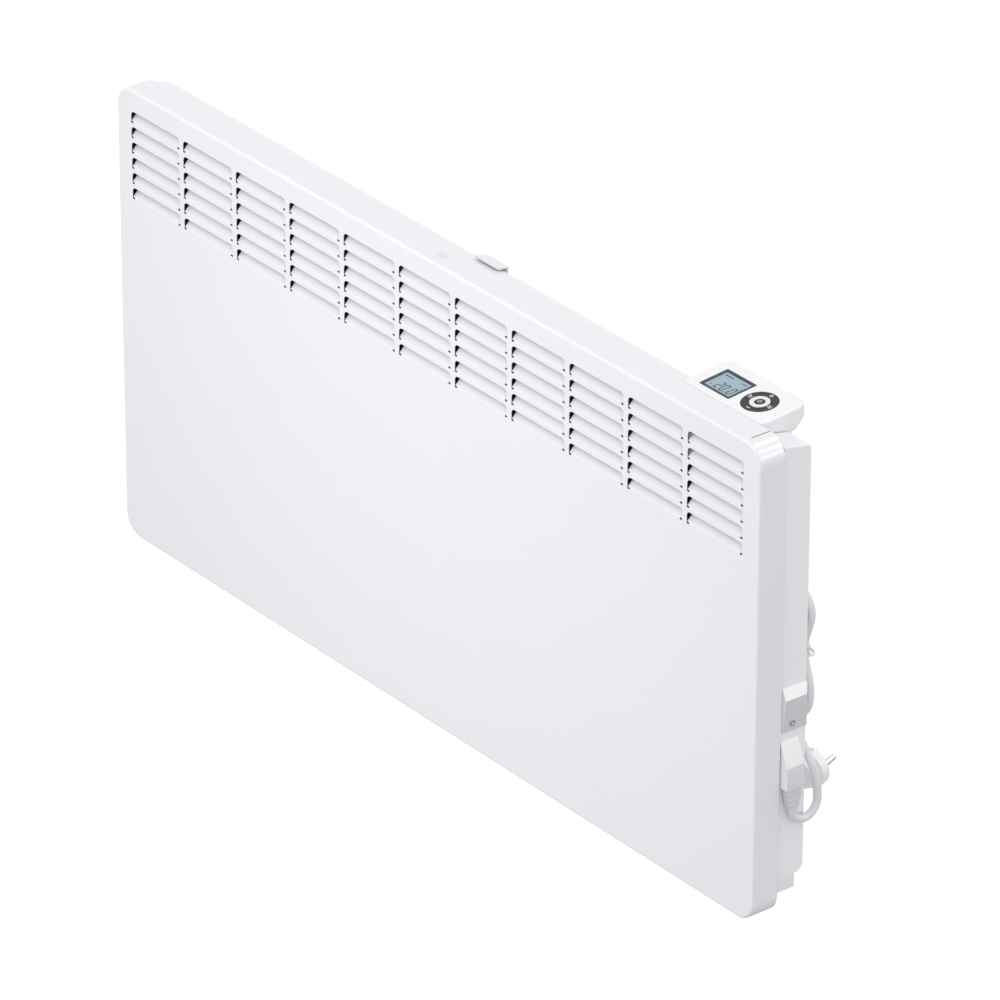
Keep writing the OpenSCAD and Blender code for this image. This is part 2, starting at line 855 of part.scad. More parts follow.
// Terminal block with three clamps
terminal_foot_h = power_board_h - power_board_l / 2;
module terminal_block() {
    x0 = control_x + terminal_x;
    color("seagreen")
        difference() {
            block([x0, power_board_d - terminal_d, terminal_foot_h],
                  [x0 + 3 * terminal_pitch, power_board_d, terminal_foot_h + terminal_h]);
            for (i = [-1, 0, 1])
                translate([x0 + (i + 1.5) * terminal_pitch, dy(power_board_d - terminal_d / 2), hz(terminal_foot_h)])
                    translate([0, 0, -overrun])
                        cylinder(r = lead_r + gap, h = terminal_bore + overrun);
        }
}

// Leads from the neck to both ends of the element and through the limiter
module element_wires() {
    end_x = element_l / 2 + sheath_out + terminal_l;
    turn_x = end_x + end_turn;
    rise_h = element_h + end_rise;
    wire_d = baffle_d - sheet - cutout_t - tab_l / 2;
    back_d = baffle_d - 2 * lead_r;
    right_x = control_x - lead_slot_l / 4;
    left_x = control_x - lead_slot_l / 2 + 2 * lead_r;
    low_h = neck_in_h - lead_drop;
    color("firebrick") {
        wire([[right_x, power_board_d - lead_pitch, neck_in_h + lead_top], [right_x, power_board_d - lead_pitch, low_h],
              [turn_x, element_d, low_h - lead_drop], [turn_x, element_d, element_h], [end_x, element_d, element_h]],
             lead_r);
        wire([[left_x, power_board_d - lead_pitch, neck_in_h + lead_top], [left_x, power_board_d - lead_pitch, low_h],
              [left_x, back_d, cutout_h + 2 * lead_drop], [cutout_x + cutout_r / 2, wire_d, cutout_h + lead_drop],
              [cutout_x + cutout_r / 2, wire_d, cutout_h + tab_t / 2]], lead_r);
        wire([[cutout_x - cutout_r / 2, wire_d, cutout_h + tab_t / 2],
              [cutout_x - cutout_r / 2, wire_d, cutout_h + lead_drop / 2],
              [cutout_x - 2 * lead_drop, back_d, cutout_h + lead_drop], [-turn_x, back_d, cutout_h + lead_drop],
              [-turn_x, element_d, rise_h], [-turn_x, element_d, element_h], [-end_x, element_d, element_h]], lead_r);
    }
}

// Cores of the mains lead from the cable box up to the terminals
module supply_leads() {
    color("saddlebrown")
        for (i = [-1, 0, 1]) {
            x = side_x - lead_inset + i * lead_pitch;
            d = box_hole_d + i * lead_pitch;
            top_x = control_x + terminal_x + (i + 1.5) * terminal_pitch;
            top_d = power_board_d - terminal_d / 2;
            wire([[side_x, d, box_hole_h], [x, d, box_hole_h], [x, d, neck_in_h - 2 * lead_drop],
                  [top_x, top_d, neck_in_h - lead_top], [top_x, top_d, terminal_foot_h + terminal_bore / 2]], lead_r);
        }
}

// Earth lead from the neck to a stud on the rear panel
earth_x = control_x - lead_slot_l / 8;
earth_h = neck_in_h - 2 * lead_drop;
module earth_wire() {
    color("yellowgreen")
        wire([[earth_x, power_board_d - lead_pitch, neck_in_h + lead_top], [earth_x, power_board_d - lead_pitch, earth_h],
              [earth_x, rear_in_d - earth_l, earth_h]], lead_r);
}
module earth_stud() {
    color("goldenrod")
        translate([earth_x, dy(rear_in_d), hz(earth_h)])
            rotate([90, 0, 0])
                cylinder(r = earth_r, h = earth_l);
}

// Room temperature sensor low in the casing, and its lead
sensor_x = side_x - sensor_in;
module room_sensor() {
    color("dimgray")
        block([sensor_x - sensor_w / 2, rear_in_d - sensor_t, casing_foot + sensor_up],
              [sensor_x + sensor_w / 2, rear_in_d, casing_foot + sensor_up + sensor_h]);
}
module sensor_wire() {
    d = rear_in_d - sensor_t / 2;
    color("dimgray")
        wire([[sensor_x, d, casing_foot + sensor_up + sensor_h], [sensor_x, d, neck_in_h - 2 * lead_drop],
              [control_x, lead_slot_d + lead_slot_w - lead_r, neck_in_h - lead_top],
              [control_x, lead_slot_d + lead_slot_w - lead_r, neck_in_h + lead_top]], lead_r / 2);
}

// Dark frame of the display
module display_frame() {
    color("dimgray")
        on_face()
            translate([display_x, face_middle, 0])
                difference() {
                    translate([0, 0, -control_wall / 2 + key_cap / 4])
                        cube([display_w, display_l, control_wall + key_cap / 2], center = true);
                    cube([display_w - 2 * display_border, display_l - 2 * display_border, 4 * control_wall], center = true);
                }
}

// Glass of the display, seated in the frame and on the board
module display_window() {
    w = display_w - 2 * display_border - gap;
    l = display_l - 2 * display_border - gap;
    color("lightsteelblue")
        on_face()
            translate([display_x, face_middle, -(board_depth + window_sink) / 2])
                cube([w, l, board_depth - window_sink], center = true);
}

// Board under the face that carries the display and the switches
module display_board() {
    color("darkgreen")
        on_face()
            translate([-control_w / 2 + control_wall + gap, face_middle - display_l / 2, -board_depth - board_t])
                cube([control_w - 2 * control_wall - 2 * gap, display_l, board_t]);
}

// Five switches under the keys
module key_switches() {
    color("silver")
        on_face()
            translate([ring_x, face_middle, -board_depth]) {
                for (a = [0 : 90 : 270])
                    rotate([0, 0, a])
                        translate([key_r - switch_side / 2, -switch_side / 2, 0])
                            cube([switch_side, switch_side, switch_h]);
                translate([-switch_side / 2, -switch_side / 2, 0])
                    cube([switch_side, switch_side, switch_h]);
            }
}

// Pale ring inside the keys, on two legs that stand on the board
module key_island() {
    outer = ring_bore_d / 2 - key_gap;
    color("white")
        on_face()
            translate([ring_x, face_middle, 0]) {
                difference() {
                    translate([0, 0, -control_wall])
                        cylinder(r = outer, h = control_wall + key_cap);
                    translate([0, 0, -2 * control_wall])
                        cylinder(r = power_key_d / 2 + key_gap, h = 4 * control_wall);
                }
                for (a = [45 : 90 : 315])
                    rotate([0, 0, a])
                        translate([outer - leg_t - gap, -leg_w / 2, -board_depth])
                            cube([leg_t, leg_w, board_depth - control_wall + eps]);
            }
}

// One quarter of the ring of keys, with a lip that stops under the shell
module ring_key(angle) {
    outer = ring_d / 2;
    inner = ring_bore_d / 2;
    color([0.2, 0.21, 0.23])
        on_face()
            translate([ring_x, face_middle, 0])
                rotate([0, 0, angle])
                    intersection() {
                        difference() {
                            union() {
                                translate([0, 0, -control_wall - key_lip_t])
                                    cylinder(r = outer, h = control_wall + key_lip_t + key_cap);
                                translate([0, 0, -control_wall - key_gap - key_lip_t])
                                    cylinder(r = outer + key_lip, h = key_lip_t);
                            }
                            translate([0, 0, -2 * control_wall])
                                cylinder(r = inner, h = 4 * control_wall);
                        }
                        rotate([0, 0, -45])
                            translate([key_slot / 2, key_slot / 2, -2 * control_wall])
                                cube([ring_d, ring_d, 4 * control_wall]);
                    }
}
module key_right() { ring_key(0); }
module key_rear() { ring_key(90); }
module key_left() { ring_key(180); }
module key_front() { ring_key(270); }

// Round power key in the middle
module key_power() {
    color([0.2, 0.21, 0.23])
        on_face()
            translate([ring_x, face_middle, 0]) {
                translate([0, 0, -control_wall - key_lip_t])
                    cylinder(r = power_key_d / 2, h = control_wall + key_lip_t + key_cap);
                translate([0, 0, -control_wall - key_gap - key_lip_t])
                    cylinder(r = power_key_d / 2 + key_lip, h = key_lip_t);
            }
}

// Moulded cover over the place where the lead enters the casing
box_hole_d = (box_front_d + box_rear_d) / 2;
box_hole_h = (box_top_h + box_foot_h) / 2;
module cable_box() {
    color("lightgray")
        difference() {
            translate([0, dy(box_rear_d), 0])
                rotate([90, 0, 0])
                    linear_extrude(box_rear_d - box_front_d)
                        polygon([[side_x, hz(box_top_h)], [side_x + box_ridge_out, hz(box_ridge_h)],
                                 [side_x + box_foot_out, hz(box_foot_h)], [side_x, hz(box_foot_h)]]);
            translate([side_x + box_ridge_out, dy(box_rear_d), hz(box_hole_h)])
                rotate([0, 0, 45])
                    cube([box_chamfer, box_chamfer, box_top_h - box_foot_h + 2 * overrun], center = true);
            translate([side_x - overrun, dy(box_hole_d), hz(box_hole_h)])
                rotate([0, 90, 0])
                    cylinder(r = lead_hole_d / 2 - sheet, h = 2 * overrun);
            cable_screw_places()
                cylinder(r = screw_r / 2 + gap, h = 4 * outlet_out, center = true, $fn = 24);
        }
}

// Place of the screw above the outlet cover, pointing out of the side
module cable_screw_places() {
    translate([side_x, dy(box_front_d + box_screw_d), hz(box_foot_h + box_screw_h)])
        rotate([0, 90, 0])
            children();
}
module cable_screws() {
    out = box_foot_out + (box_ridge_out - box_foot_out) * box_screw_h / (box_ridge_h - box_foot_h);
    color("silver")
        cable_screw_places() {
            translate([0, 0, out])
                screw_top(screw_r, screw_head / 2);
            translate([0, 0, -2 * sheet])
                cylinder(r = screw_r / 2, h = out + 2 * sheet + eps, $fn = 24);
        }
}

// Cover of the cord outlet with a sloping top
module outlet_cover() {
    color("whitesmoke")
        difference() {
            translate([0, dy(outlet_rear_d), 0])
                rotate([90, 0, 0])
                    linear_extrude(outlet_rear_d - outlet_front_d)
                        polygon([[side_x, hz(outlet_top_h)], [side_x + outlet_out, hz(outlet_ridge_h)],
                                 [side_x + outlet_out, hz(outlet_foot_h)], [side_x, hz(outlet_foot_h)]]);
            translate([cord_x, dy(cord_exit_d), hz(outlet_foot_h)])
                translate([0, 0, -overrun])
                    cylinder(r = cord_socket_r, h = cord_socket_l + overrun);
        }
}

// Tapered relief that the cord leaves through
module strain_relief() {
    top = hz(outlet_foot_h) - gap / 2;
    y = dy(cord_exit_d);
    color("lightgray")
        sideways(side_x + soft_gap, outlet_out - soft_gap)
            polygon([[y - relief_top_w / 2, top], [y + relief_top_w / 2, top],
                     [y + relief_top_w / 2, top - relief_step], [y + relief_foot_w / 2, hz(cord_exit_h)],
                     [y - relief_foot_w / 2, hz(cord_exit_h)], [y - relief_top_w / 2, top - relief_step]]);
}

// Free cord from the relief, round a bend below it and up behind the casing
cord_exit = [cord_x, dy(cord_exit_d), hz(cord_exit_h)];
cord_path = [for (p = cord_route) cord_exit + p];
module mains_cord() {
    color("whitesmoke")
        tube(cord_path, cord_d / 2, cord_sides, [1, 0.3, 0], [0, 0, -1], [-1, 0, 0]);
}

// Centreline of the hank: stadium turns that step inwards at the upper folds of the first
// layer and outwards at the lower folds of the second. t counts turns from the middle of
// the lower fold: a quarter fold, the left run, the upper fold, the right run, a quarter fold.
cord_end = cord_path[len(cord_path) - 1];
hank_x = cord_end[0];
hank_y0 = cord_end[1];
hank_y1 = hank_y0 + hank_layer;
hank_z = cord_end[2] + hank_run + hank_r0;
hank_mean_r = hank_r0 - hank_step;
fold_share = PI * hank_mean_r / (2 * PI * hank_mean_r + 4 * hank_run);
hank_turns = 4 - fold_share / 2;
run_share = 0.5 - fold_share;
function ease(k) = (1 - cos(180 * max(0, min(1, k)))) / 2;
function upper_folds(t) = floor(t) + ease((t - floor(t) - fold_share / 2 - run_share) / fold_share);
function lower_folds(t) = floor(t - 0.5) + ease((t - 0.5 - floor(t - 0.5) - 0.5 + fold_share / 2) / fold_share);
function hank_r(t) = hank_r0 - hank_step * (t < 2.4 ? min(2, upper_folds(t)) : 4 - lower_folds(t));
function waist(z) = hank_waist * pow(cos(90 * min(1, abs(z - hank_waist_up) / hank_run)), 2);
function hank_flat(t) =
    let (u = t - floor(t), r = hank_r(t), f = fold_share, s = run_share)
    u < f / 2 ? [-r * sin(180 * u / f), -hank_run - r * cos(180 * u / f)]
    : u < f / 2 + s ? [-r, -hank_run + 2 * hank_run * (u - f / 2) / s]
    : u < 1.5 * f + s ? [-r * cos(180 * (u - f / 2 - s) / f), hank_run + r * sin(180 * (u - f / 2 - s) / f)]
    : u < 1.5 * f + 2 * s ? [r, hank_run - 2 * hank_run * (u - 1.5 * f - s) / s]
    : [r * sin(180 * (1 - u) / f), -hank_run - r * cos(180 * (1 - u) / f)];
function hank_climb(t) = hank_y0 + (hank_y1 - hank_y0) * ease((t - 2 - fold_share / 2) / run_share);
function hank_point(t) =
    let (p = hank_flat(t), side = p[0] < 0 ? -1 : 1)
    [hank_x + side * max(0, abs(p[0]) - waist(p[1])), hank_climb(t), hank_z + p[1]];
hank_count = round(hank_turns * hank_rings);
hank_path = [for (i = [0 : hank_count]) hank_point(hank_turns * i / hank_count)];
hank_last = hank_path[hank_count];
hank_end_way = unit(hank_point(hank_turns) - hank_point(hank_turns - eps));
// Least gap between stretches of the hank that aren't neighbours along it
hank_marks = hank_count * hank_fineness;
hank_trace = [for (i = [0 : hank_marks]) hank_point(hank_turns * i / hank_marks)];
hank_gaps = [for (i = [0 : hank_marks], j = [i + hank_rings / 4 * hank_fineness : 1 : hank_marks])
    norm(hank_trace[i] - hank_trace[j])];
echo(hank_least_gap = min(hank_gaps) - cord_d);
module cord_hank() {
    color("whitesmoke")
        tube(hank_path, cord_d / 2, hank_sides, [0, 1, 0], [-1, 0, 0], hank_end_way);
}

// Tie round the hank's waist
module hank_tie() {
    w = 2 * (hank_r0 - hank_waist) + cord_d + 2 * tie_t;
    l = hank_layer + cord_d + 2 * tie_t;
    color("white")
        translate([hank_x, hank_y0 + hank_layer / 2, hank_z + hank_waist_up - tie_h / 2])
            linear_extrude(tie_h)
                difference() {
                    round_rect(w, l, l / 4);
                    round_rect(w - 2 * tie_t, l - 2 * tie_t, l / 4 - tie_t);
                }
}

// Free cord from the hank down to the plug
plug_path = [for (p = plug_route) hank_last + p];
module plug_cord() {
    color("whitesmoke")
        tube(plug_path, cord_d / 2, cord_sides, [0, 1, 0], hank_end_way, plug_way);
}

// Frame of the plug: its pins point along z and its cord leaves obliquely towards -y
sleeve_way = [sin(plug_turn), cos(plug_turn) * sin(plug_tilt), -cos(plug_turn) * cos(plug_tilt)];
plug_way = [sleeve_way[0] * cos(plug_yaw) - sleeve_way[1] * sin(plug_yaw),
            sleeve_way[0] * sin(plug_yaw) + sleeve_way[1] * cos(plug_yaw), sleeve_way[2]];
plug_last = plug_path[len(plug_path) - 1];
module on_plug() {
    translate(plug_last)
        rotate([0, 0, plug_yaw])
            rotate([plug_tilt - 90, 0, 0])
                translate([plug_sleeve * sin(plug_turn), plug_sleeve * cos(plug_turn), plug_axis])
                    children();
}

// Moulded angled plug
module plug_body() {
    color("whitesmoke")
        on_plug()
            difference() {
                union() {
                    translate([0, 0, -plug_rim])
                        cylinder(r = plug_r, h = plug_rim);
                    translate([0, 0, -plug_t])
                        cylinder(r1 = plug_back_r - 2, r2 = plug_back_r, h = plug_t - plug_rim + eps);
                    translate([0, 0, -plug_axis])
                        rotate([90, 0, -plug_turn])
                            cylinder(r1 = plug_sleeve_r0, r2 = plug_sleeve_r1, h = plug_sleeve);
                }
                for (x = [-1, 1])
                    translate([x * pin_pitch / 2, 0, -plug_rim])
                        cylinder(r = pin_r, h = 2 * plug_rim);
                for (y = [-1, 1])
                    translate([-clip_w / 2 - gap, y > 0 ? plug_r - clip_cut : -plug_r - overrun, -plug_rim + clip_t])
                        cube([clip_w + 2 * gap, clip_cut + overrun, 2 * plug_rim]);
            }
}

// Two round pins with domed ends
module plug_pins() {
    color("silver")
        on_plug()
            for (x = [-1, 1])
                translate([x * pin_pitch / 2, 0, -plug_rim + eps]) {
                    cylinder(r = pin_r, h = plug_rim + pin_l - pin_r / 2);
                    translate([0, 0, plug_rim + pin_l - pin_r / 2])
                        cylinder(r1 = pin_r, r2 = pin_r / 2, h = pin_r / 2);
                }
}

// Earth contacts in the plug's two side notches
module earth_clips() {
    color("silver")
        on_plug()
            for (y = [-1, 1])
                translate([-clip_w / 2, y > 0 ? plug_r - clip_cut : -plug_r + clip_cut - clip_t, -plug_rim + clip_t])
                    cube([clip_w, clip_t, plug_rim - clip_t]);
}

// Upright straps, rails and arms of the wall bracket
strap_back = wall_depth - strap_t;
strap_foot = cover_h / 2 - strap_h / 2;
arm_x = fix_span_x / 2 + strap_w / 2 - arm_t / 2;
pad_x = arm_x + arm_t / 2 - pad_r;
shelf_h = latch_foot_h + latch_shelf;
lug_h = shelf_h + lug_t + spring_h;
module wall_bracket() {
    strap_x = fix_span_x / 2;
    plate_d = casing_depth + pad_t;
    guide_d = latch_back_d - gap;
    color("gainsboro")
        difference() {
            union() {
                for (s = [0, 1])
                    mirror([s, 0, 0]) {
                        block([strap_x - strap_w / 2, strap_back, strap_foot],
                              [strap_x + strap_w / 2, wall_depth, pad_h + pad_r]);
                        sideways(arm_x - arm_t / 2, arm_t) {
                            translate([dy(pivot_d0), hz(pivot_h)])
                                circle(arm_r);
                            polygon(dh([[pivot_d0, pivot_h - arm_r], [strap_back + eps, strap_foot],
                                        [strap_back + eps, strap_foot + 3 * arm_r], [pivot_d0, pivot_h + arm_r]]));
                            polygon(dh([[plate_d + eps, pad_h - pad_r], [strap_back + eps, pad_h - 3 * pad_r],
                                        [strap_back + eps, pad_h + pad_r], [plate_d + eps, pad_h + pad_r]]));
                        }
                        block([pad_x - pad_r, plate_d, pad_h - pad_r], [pad_x + pad_r, plate_d + sheet, pad_h + pad_r]);
                    }
                for (h = [rail_foot_h, rail_top_h])
                    block([-strap_x, strap_back, h], [strap_x, wall_depth, h + rail_h]);
                for (s = [-1, 1]) {
                    edge = latch_x + s * (latch_w / 2 + gap + guide_t / 2);
                    lap = latch_x + s * (latch_w / 2 + gap + guide_t - guide_lap / 2);
                    block([edge - guide_t / 2, guide_d - guide_t, rail_top_h],
                          [edge + guide_t / 2, strap_back + eps, rail_top_h + rail_h]);
                    block([lap - guide_lap / 2, guide_d - guide_t, rail_top_h],
                          [lap + guide_lap / 2, guide_d, rail_top_h + rail_h]);
                }
                block([latch_x - lug_w / 2, strap_back - lug_l, lug_h], [latch_x + lug_w / 2, strap_back + eps, lug_h + lug_t]);
                block([latch_x - lug_w / 2, strap_back, rail_top_h], [latch_x + lug_w / 2, wall_depth, lug_h + lug_t]);
            }
            for (x = [-1, 1], z = [-1, 1])
                translate([x * fix_span_x / 2, -strap_t - overrun, z * fix_span_z / 2])
                    rotate([-90, 0, 0])
                        cylinder(r = fix_d / 2, h = strap_t + 2 * overrun);
            translate([-cover_w / 2, dy(pivot_d0), hz(pivot_h)])
                rotate([0, 90, 0])
                    cylinder(r = pivot_d / 2 + run_gap, h = cover_w);
        }
}

// Rubber pads that the casing's back rests against
module bracket_pads() {
    color("dimgray")
        for (x = [-1, 1])
            translate([x * pad_x, dy(casing_depth + soft_gap), hz(pad_h)])
                rotate([-90, 0, 0])
                    cylinder(r = pad_r, h = pad_t - soft_gap);
}

// Slide in the top rail whose tongue holds the casing's top edge down
latch_h = casing_top_h + latch_gap + latch_pad_t;
module latch() {
    function over(d) = latch_h + (casing_depth - d) * slope_rise;
    riser_d = casing_depth + pad_t;
    bend_h = rail_top_h + rail_h + latch_bend_over;
    color("white") {
        sideways(latch_x - latch_w / 2, latch_w)
            polygon(dh([[latch_back_d, latch_foot_h], [latch_back_d, bend_h], [riser_d, bend_h], [riser_d, latch_h],
                        [casing_depth, latch_h], [latch_tongue_d, over(latch_tongue_d)],
                        [latch_tongue_d, over(latch_tongue_d) + latch_t], [casing_depth, latch_h + latch_t],
                        [riser_d + latch_t, latch_h + latch_t], [riser_d + latch_t, bend_h + latch_t],
                        [latch_back_d + latch_t, bend_h + latch_t], [latch_back_d + latch_t, latch_foot_h]]));
        block([latch_x - lug_w / 2, latch_back_d, shelf_h],
              [latch_x + lug_w / 2, strap_back - soft_gap, shelf_h + lug_t]);
    }
}

// Rubber pad under the tongue
module latch_pad() {
    function over(d) = latch_h + (casing_depth - d) * slope_rise;
    front = latch_tongue_d + latch_inset;
    rear = casing_depth - latch_inset;
    color("whitesmoke")
        sideways(latch_x - latch_w / 2 + latch_inset, latch_w - 2 * latch_inset)
            polygon(dh([[front, over(front)], [rear, over(rear)],
                        [rear, over(rear) - latch_pad_t], [front, over(front) - latch_pad_t]]));
}

// Compression spring that presses the latch down
module latch_spring() {
    steps = spring_turns * spring_rings;
    foot = shelf_h + lug_t + spring_wire_r;
    height = spring_h - 2 * spring_wire_r;
    y = dy((latch_back_d + latch_t + strap_back) / 2);
    r = spring_r - spring_wire_r;
    path = [for (i = [0 : steps])
        [latch_x + r * cos(360 * i / spring_rings), y + r * sin(360 * i / spring_rings),
         hz(foot) + height * i / steps]];
    color("silver")
        tube(path, spring_wire_r, 6, [0, 0, 1], unit(path[1] - path[0]), unit(path[steps] - path[steps - 1]));
}

// U-shaped ears on the rear panel that hold the tilt pins
module pivot_ears() {
    color("gainsboro")
        for (x = [-1, 1], s = [-1, 1]) {
            ear_x = x * arm_x + s * (arm_t + ear_inner) / 2;
            foot_x = ear_x + s * (ear_foot - ear_t) / 2;
            difference() {
                union() {
                    sideways(ear_x - ear_t / 2, ear_t) {
                        translate([dy(pivot_d0), hz(pivot_h)])
                            circle(arm_r - sheet);
                        polygon(dh([[casing_depth, pivot_h - ear_foot], [pivot_d0, pivot_h - arm_r + sheet],
                                    [pivot_d0, pivot_h + arm_r - sheet], [casing_depth, pivot_h + ear_foot]]));
                    }
                    block([foot_x - ear_foot / 2, casing_depth, pivot_h - ear_foot],
                          [foot_x + ear_foot / 2, casing_depth + sheet, pivot_h + ear_foot]);
                }
                translate([ear_x - ear_foot, dy(pivot_d0), hz(pivot_h)])
                    rotate([0, 90, 0])
                        cylinder(r = pivot_d / 2, h = 2 * ear_foot);
            }
        }
}

// Tilt pins
module pivot_pins() {
    l = arm_t + 2 * ear_inner + ear_t;
    color("silver")
        for (x = [-1, 1])
            translate([x * arm_x - l / 2, dy(pivot_d0), hz(pivot_h)])
                rotate([0, 90, 0])
                    cylinder(r = pivot_d / 2, h = l);
}

wall_bracket();
bracket_pads();
latch_spring();
latch();
latch_pad();
front_cover();
rear_casing();
base_grille();
cover_brackets();
cover_screws();
pivot_ears();
pivot_pins();
heat_baffle();
element_wings();
element_sheath();
element_bushes();
element_brackets();
thermal_cutout();
control_base();
power_board();
power_relay();
terminal_block();
element_wires();
supply_leads();
earth_wire();
earth_stud();
room_sensor();
sensor_wire();
control_head();
control_screws();
display_frame();
display_window();
display_board();
key_switches();
key_island();
key_left();
key_right();
key_front();
key_rear();
key_power();
cable_box();
outlet_cover();
cable_screws();
strain_relief();
mains_cord();
cord_hank();
hank_tie();
plug_cord();
plug_body();
plug_pins();
earth_clips();
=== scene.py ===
"""Finished pieces of a wall panel convector heater, built around its CAD frame.

Frame: X to the right seen from the front, Y into the wall, Z up, in metres. The origin is on
the wall plane at the middle of the bracket's fixing holes. Sizes below are in millimetres.
"""

import math

import bmesh
import bpy
import numpy as np
from mathutils import Matrix, Vector
from mathutils.geometry import tessellate_polygon


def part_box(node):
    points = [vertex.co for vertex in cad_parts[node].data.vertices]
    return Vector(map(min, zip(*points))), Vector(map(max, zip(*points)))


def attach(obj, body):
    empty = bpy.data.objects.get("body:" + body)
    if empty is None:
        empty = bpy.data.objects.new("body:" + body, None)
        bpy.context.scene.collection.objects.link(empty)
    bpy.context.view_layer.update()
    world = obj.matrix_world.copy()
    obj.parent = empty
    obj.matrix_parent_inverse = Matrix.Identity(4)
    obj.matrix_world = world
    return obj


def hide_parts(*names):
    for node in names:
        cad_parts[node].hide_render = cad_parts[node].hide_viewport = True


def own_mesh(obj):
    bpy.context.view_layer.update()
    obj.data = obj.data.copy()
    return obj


bl_info = {
    "name": "Wall Panel Convector Heater",
    "version": (1, 0, 0),
    "blender": (4, 5, 0),
    "location": "View3D > Sidebar > Heater",
    "description": "Builds the finished pieces of a wall panel convector heater",
    "category": "Object",
}

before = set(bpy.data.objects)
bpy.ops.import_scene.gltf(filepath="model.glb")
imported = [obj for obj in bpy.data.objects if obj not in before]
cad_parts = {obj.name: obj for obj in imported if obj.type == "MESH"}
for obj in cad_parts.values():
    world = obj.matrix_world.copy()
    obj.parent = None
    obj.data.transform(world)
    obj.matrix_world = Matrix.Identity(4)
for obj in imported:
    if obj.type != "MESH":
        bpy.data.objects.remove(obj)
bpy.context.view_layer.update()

MM = 0.001
# CAD points closer than this, in metres, are one; faces turned less than this are one plane
SAME_POINT, SAME_PLANE = 2e-6, math.radians(0.4)

# Front cover: width, height, depth of its folded edge, and front face to wall
COVER_W = 894
COVER_H = 450
FLANGE = 27
WALL_DEPTH = 108
# Depth of the point inside the rear casing from which its faces look inwards or outwards
CASING_MIDDLE = 37
# Half of the slit beside each corner, turn between a corner's points in degrees, and depth
# behind the front at which the slit begins
SEAM = 0.45
CORNER_TURN = 6
SEAM_FROM = 6.5

# Louvres: opening, its corner radius, steps and counts, and how far below the top they begin
LOUVRE_W = 72
LOUVRE_H = 10.5
LOUVRE_R = 4
LOUVRE_STEP_X = 78
LOUVRE_STEP_Z = 15
LOUVRE_COLUMNS = 11
LOUVRE_ROWS = 6
LOUVRE_TOP = 20.6
# Relief cut at each end of the hinge, play round the flap, bend radius, points along the hinge
RELIEF_W = 3
RELIEF_H = 0.8
FLAP_PLAY = 0.2
FLAP_BEND = 1.3
FLAP_POINTS = 13

# Control unit: place of its face, and what stands in it
FACE_X = 363.55
FACE_D = 27.4
FACE_H = 450.6
FACE_TILT = math.radians(5.4)
FACE_MIDDLE = 22.4
DISPLAY_X = -18.7
DISPLAY_W = 37.8
DISPLAY_L = 31
RING_X = 22.2
RING_R = 16
RING_BORE_R = 9.2
POWER_R = 4.4
KEY_PROUD = 0.3
# Shell of the control unit on its face: width, front, rear, radii of its corners, and depths
# of the points on its sides
HEAD_W, HEAD_FRONT, HEAD_REAR = 101.5, -0.6, 50.5
HEAD_FRONT_R, HEAD_REAR_R = 2.8, 9.5
HEAD_SIDES = (6, 13, 20, 27, 34, 37.5)
# Its lower edge: height at three depths, straight between them, where the last stretch is the
# sloping underside, and height of the row of points just above the edge
HEAD_FOOT_D, HEAD_FOOT_Z, HEAD_RIM = (-1, 34, 50.5), (-11.7, -20.5, -7.5), 1.2
# Clearance round the display, its opening's corner radius, and clearance round the keys
DISPLAY_PLAY, DISPLAY_CORNER_R, RING_PLAY = 0.4, 1.4, 0.35
# Figures on the display: their middle from the display's, size, bar, gap and slant
FIGURES_X, FIGURES_Y = 3.4, -5.4
FIGURE_W, FIGURE_H, FIGURE_BAR, FIGURE_GAP, FIGURE_SLANT = 4.8, 11.2, 1.15, 1.5, 0.16
# Small marks on the display: squares and growing bars as x and y from its middle, width,
# height and corner radius, and dots as x, y and radius
DISPLAY_MARKS = (
    (-12.3, 9, 2.1, 1.9, 0.3), (-8.9, 9, 2.1, 1.9, 0.3), (-5.5, 9, 2.1, 1.9, 0.3),
    (7, 9, 0.9, 1, 0.15), (8.7, 9, 0.9, 1.5, 0.15), (10.4, 9, 0.9, 2, 0.15),
    (12.1, 9, 0.9, 2.5, 0.15))
DISPLAY_DOTS = ((-11.6, -8.6, 0.8), (14.4, 1.9, 0.7))
# Heights of the display's print from the face
INK_LOW, INK_HIGH = -0.62, -0.56
# Keys: underside, lip at the foot, edge radii, dish of the ring and dome of the power key,
# and half of the gap between two ring keys as an angle
KEY_FOOT, KEY_LIP, KEY_LIP_T = -3.35, 1.2, 0.8
RING_EDGE, POWER_EDGE, RING_DISH, POWER_DOME = 0.7, 0.6, 0.35, 0.12
RING_GAP = 0.16 / 13
# Marks on the keys: underside and top from the key's top, and rise of the power key's mark
MARK_LOW, MARK_HIGH, MARK_RISE = -0.5, 0.02, 0.14
# Lengths, radii and line widths of the plus and minus, the waves, the arrow and the power sign
PLUS_L, PLUS_LINE = 4.2, 0.75
WAVE_L, WAVE_STEP, WAVE_UP, WAVE_LINE = 3.8, 1.35, 0.35, 0.55
ARROW_R, ARROW_LINE = 1.3, 0.6
SIGN_R, SIGN_BAR, SIGN_LINE = 1.6, 1.9, 0.5

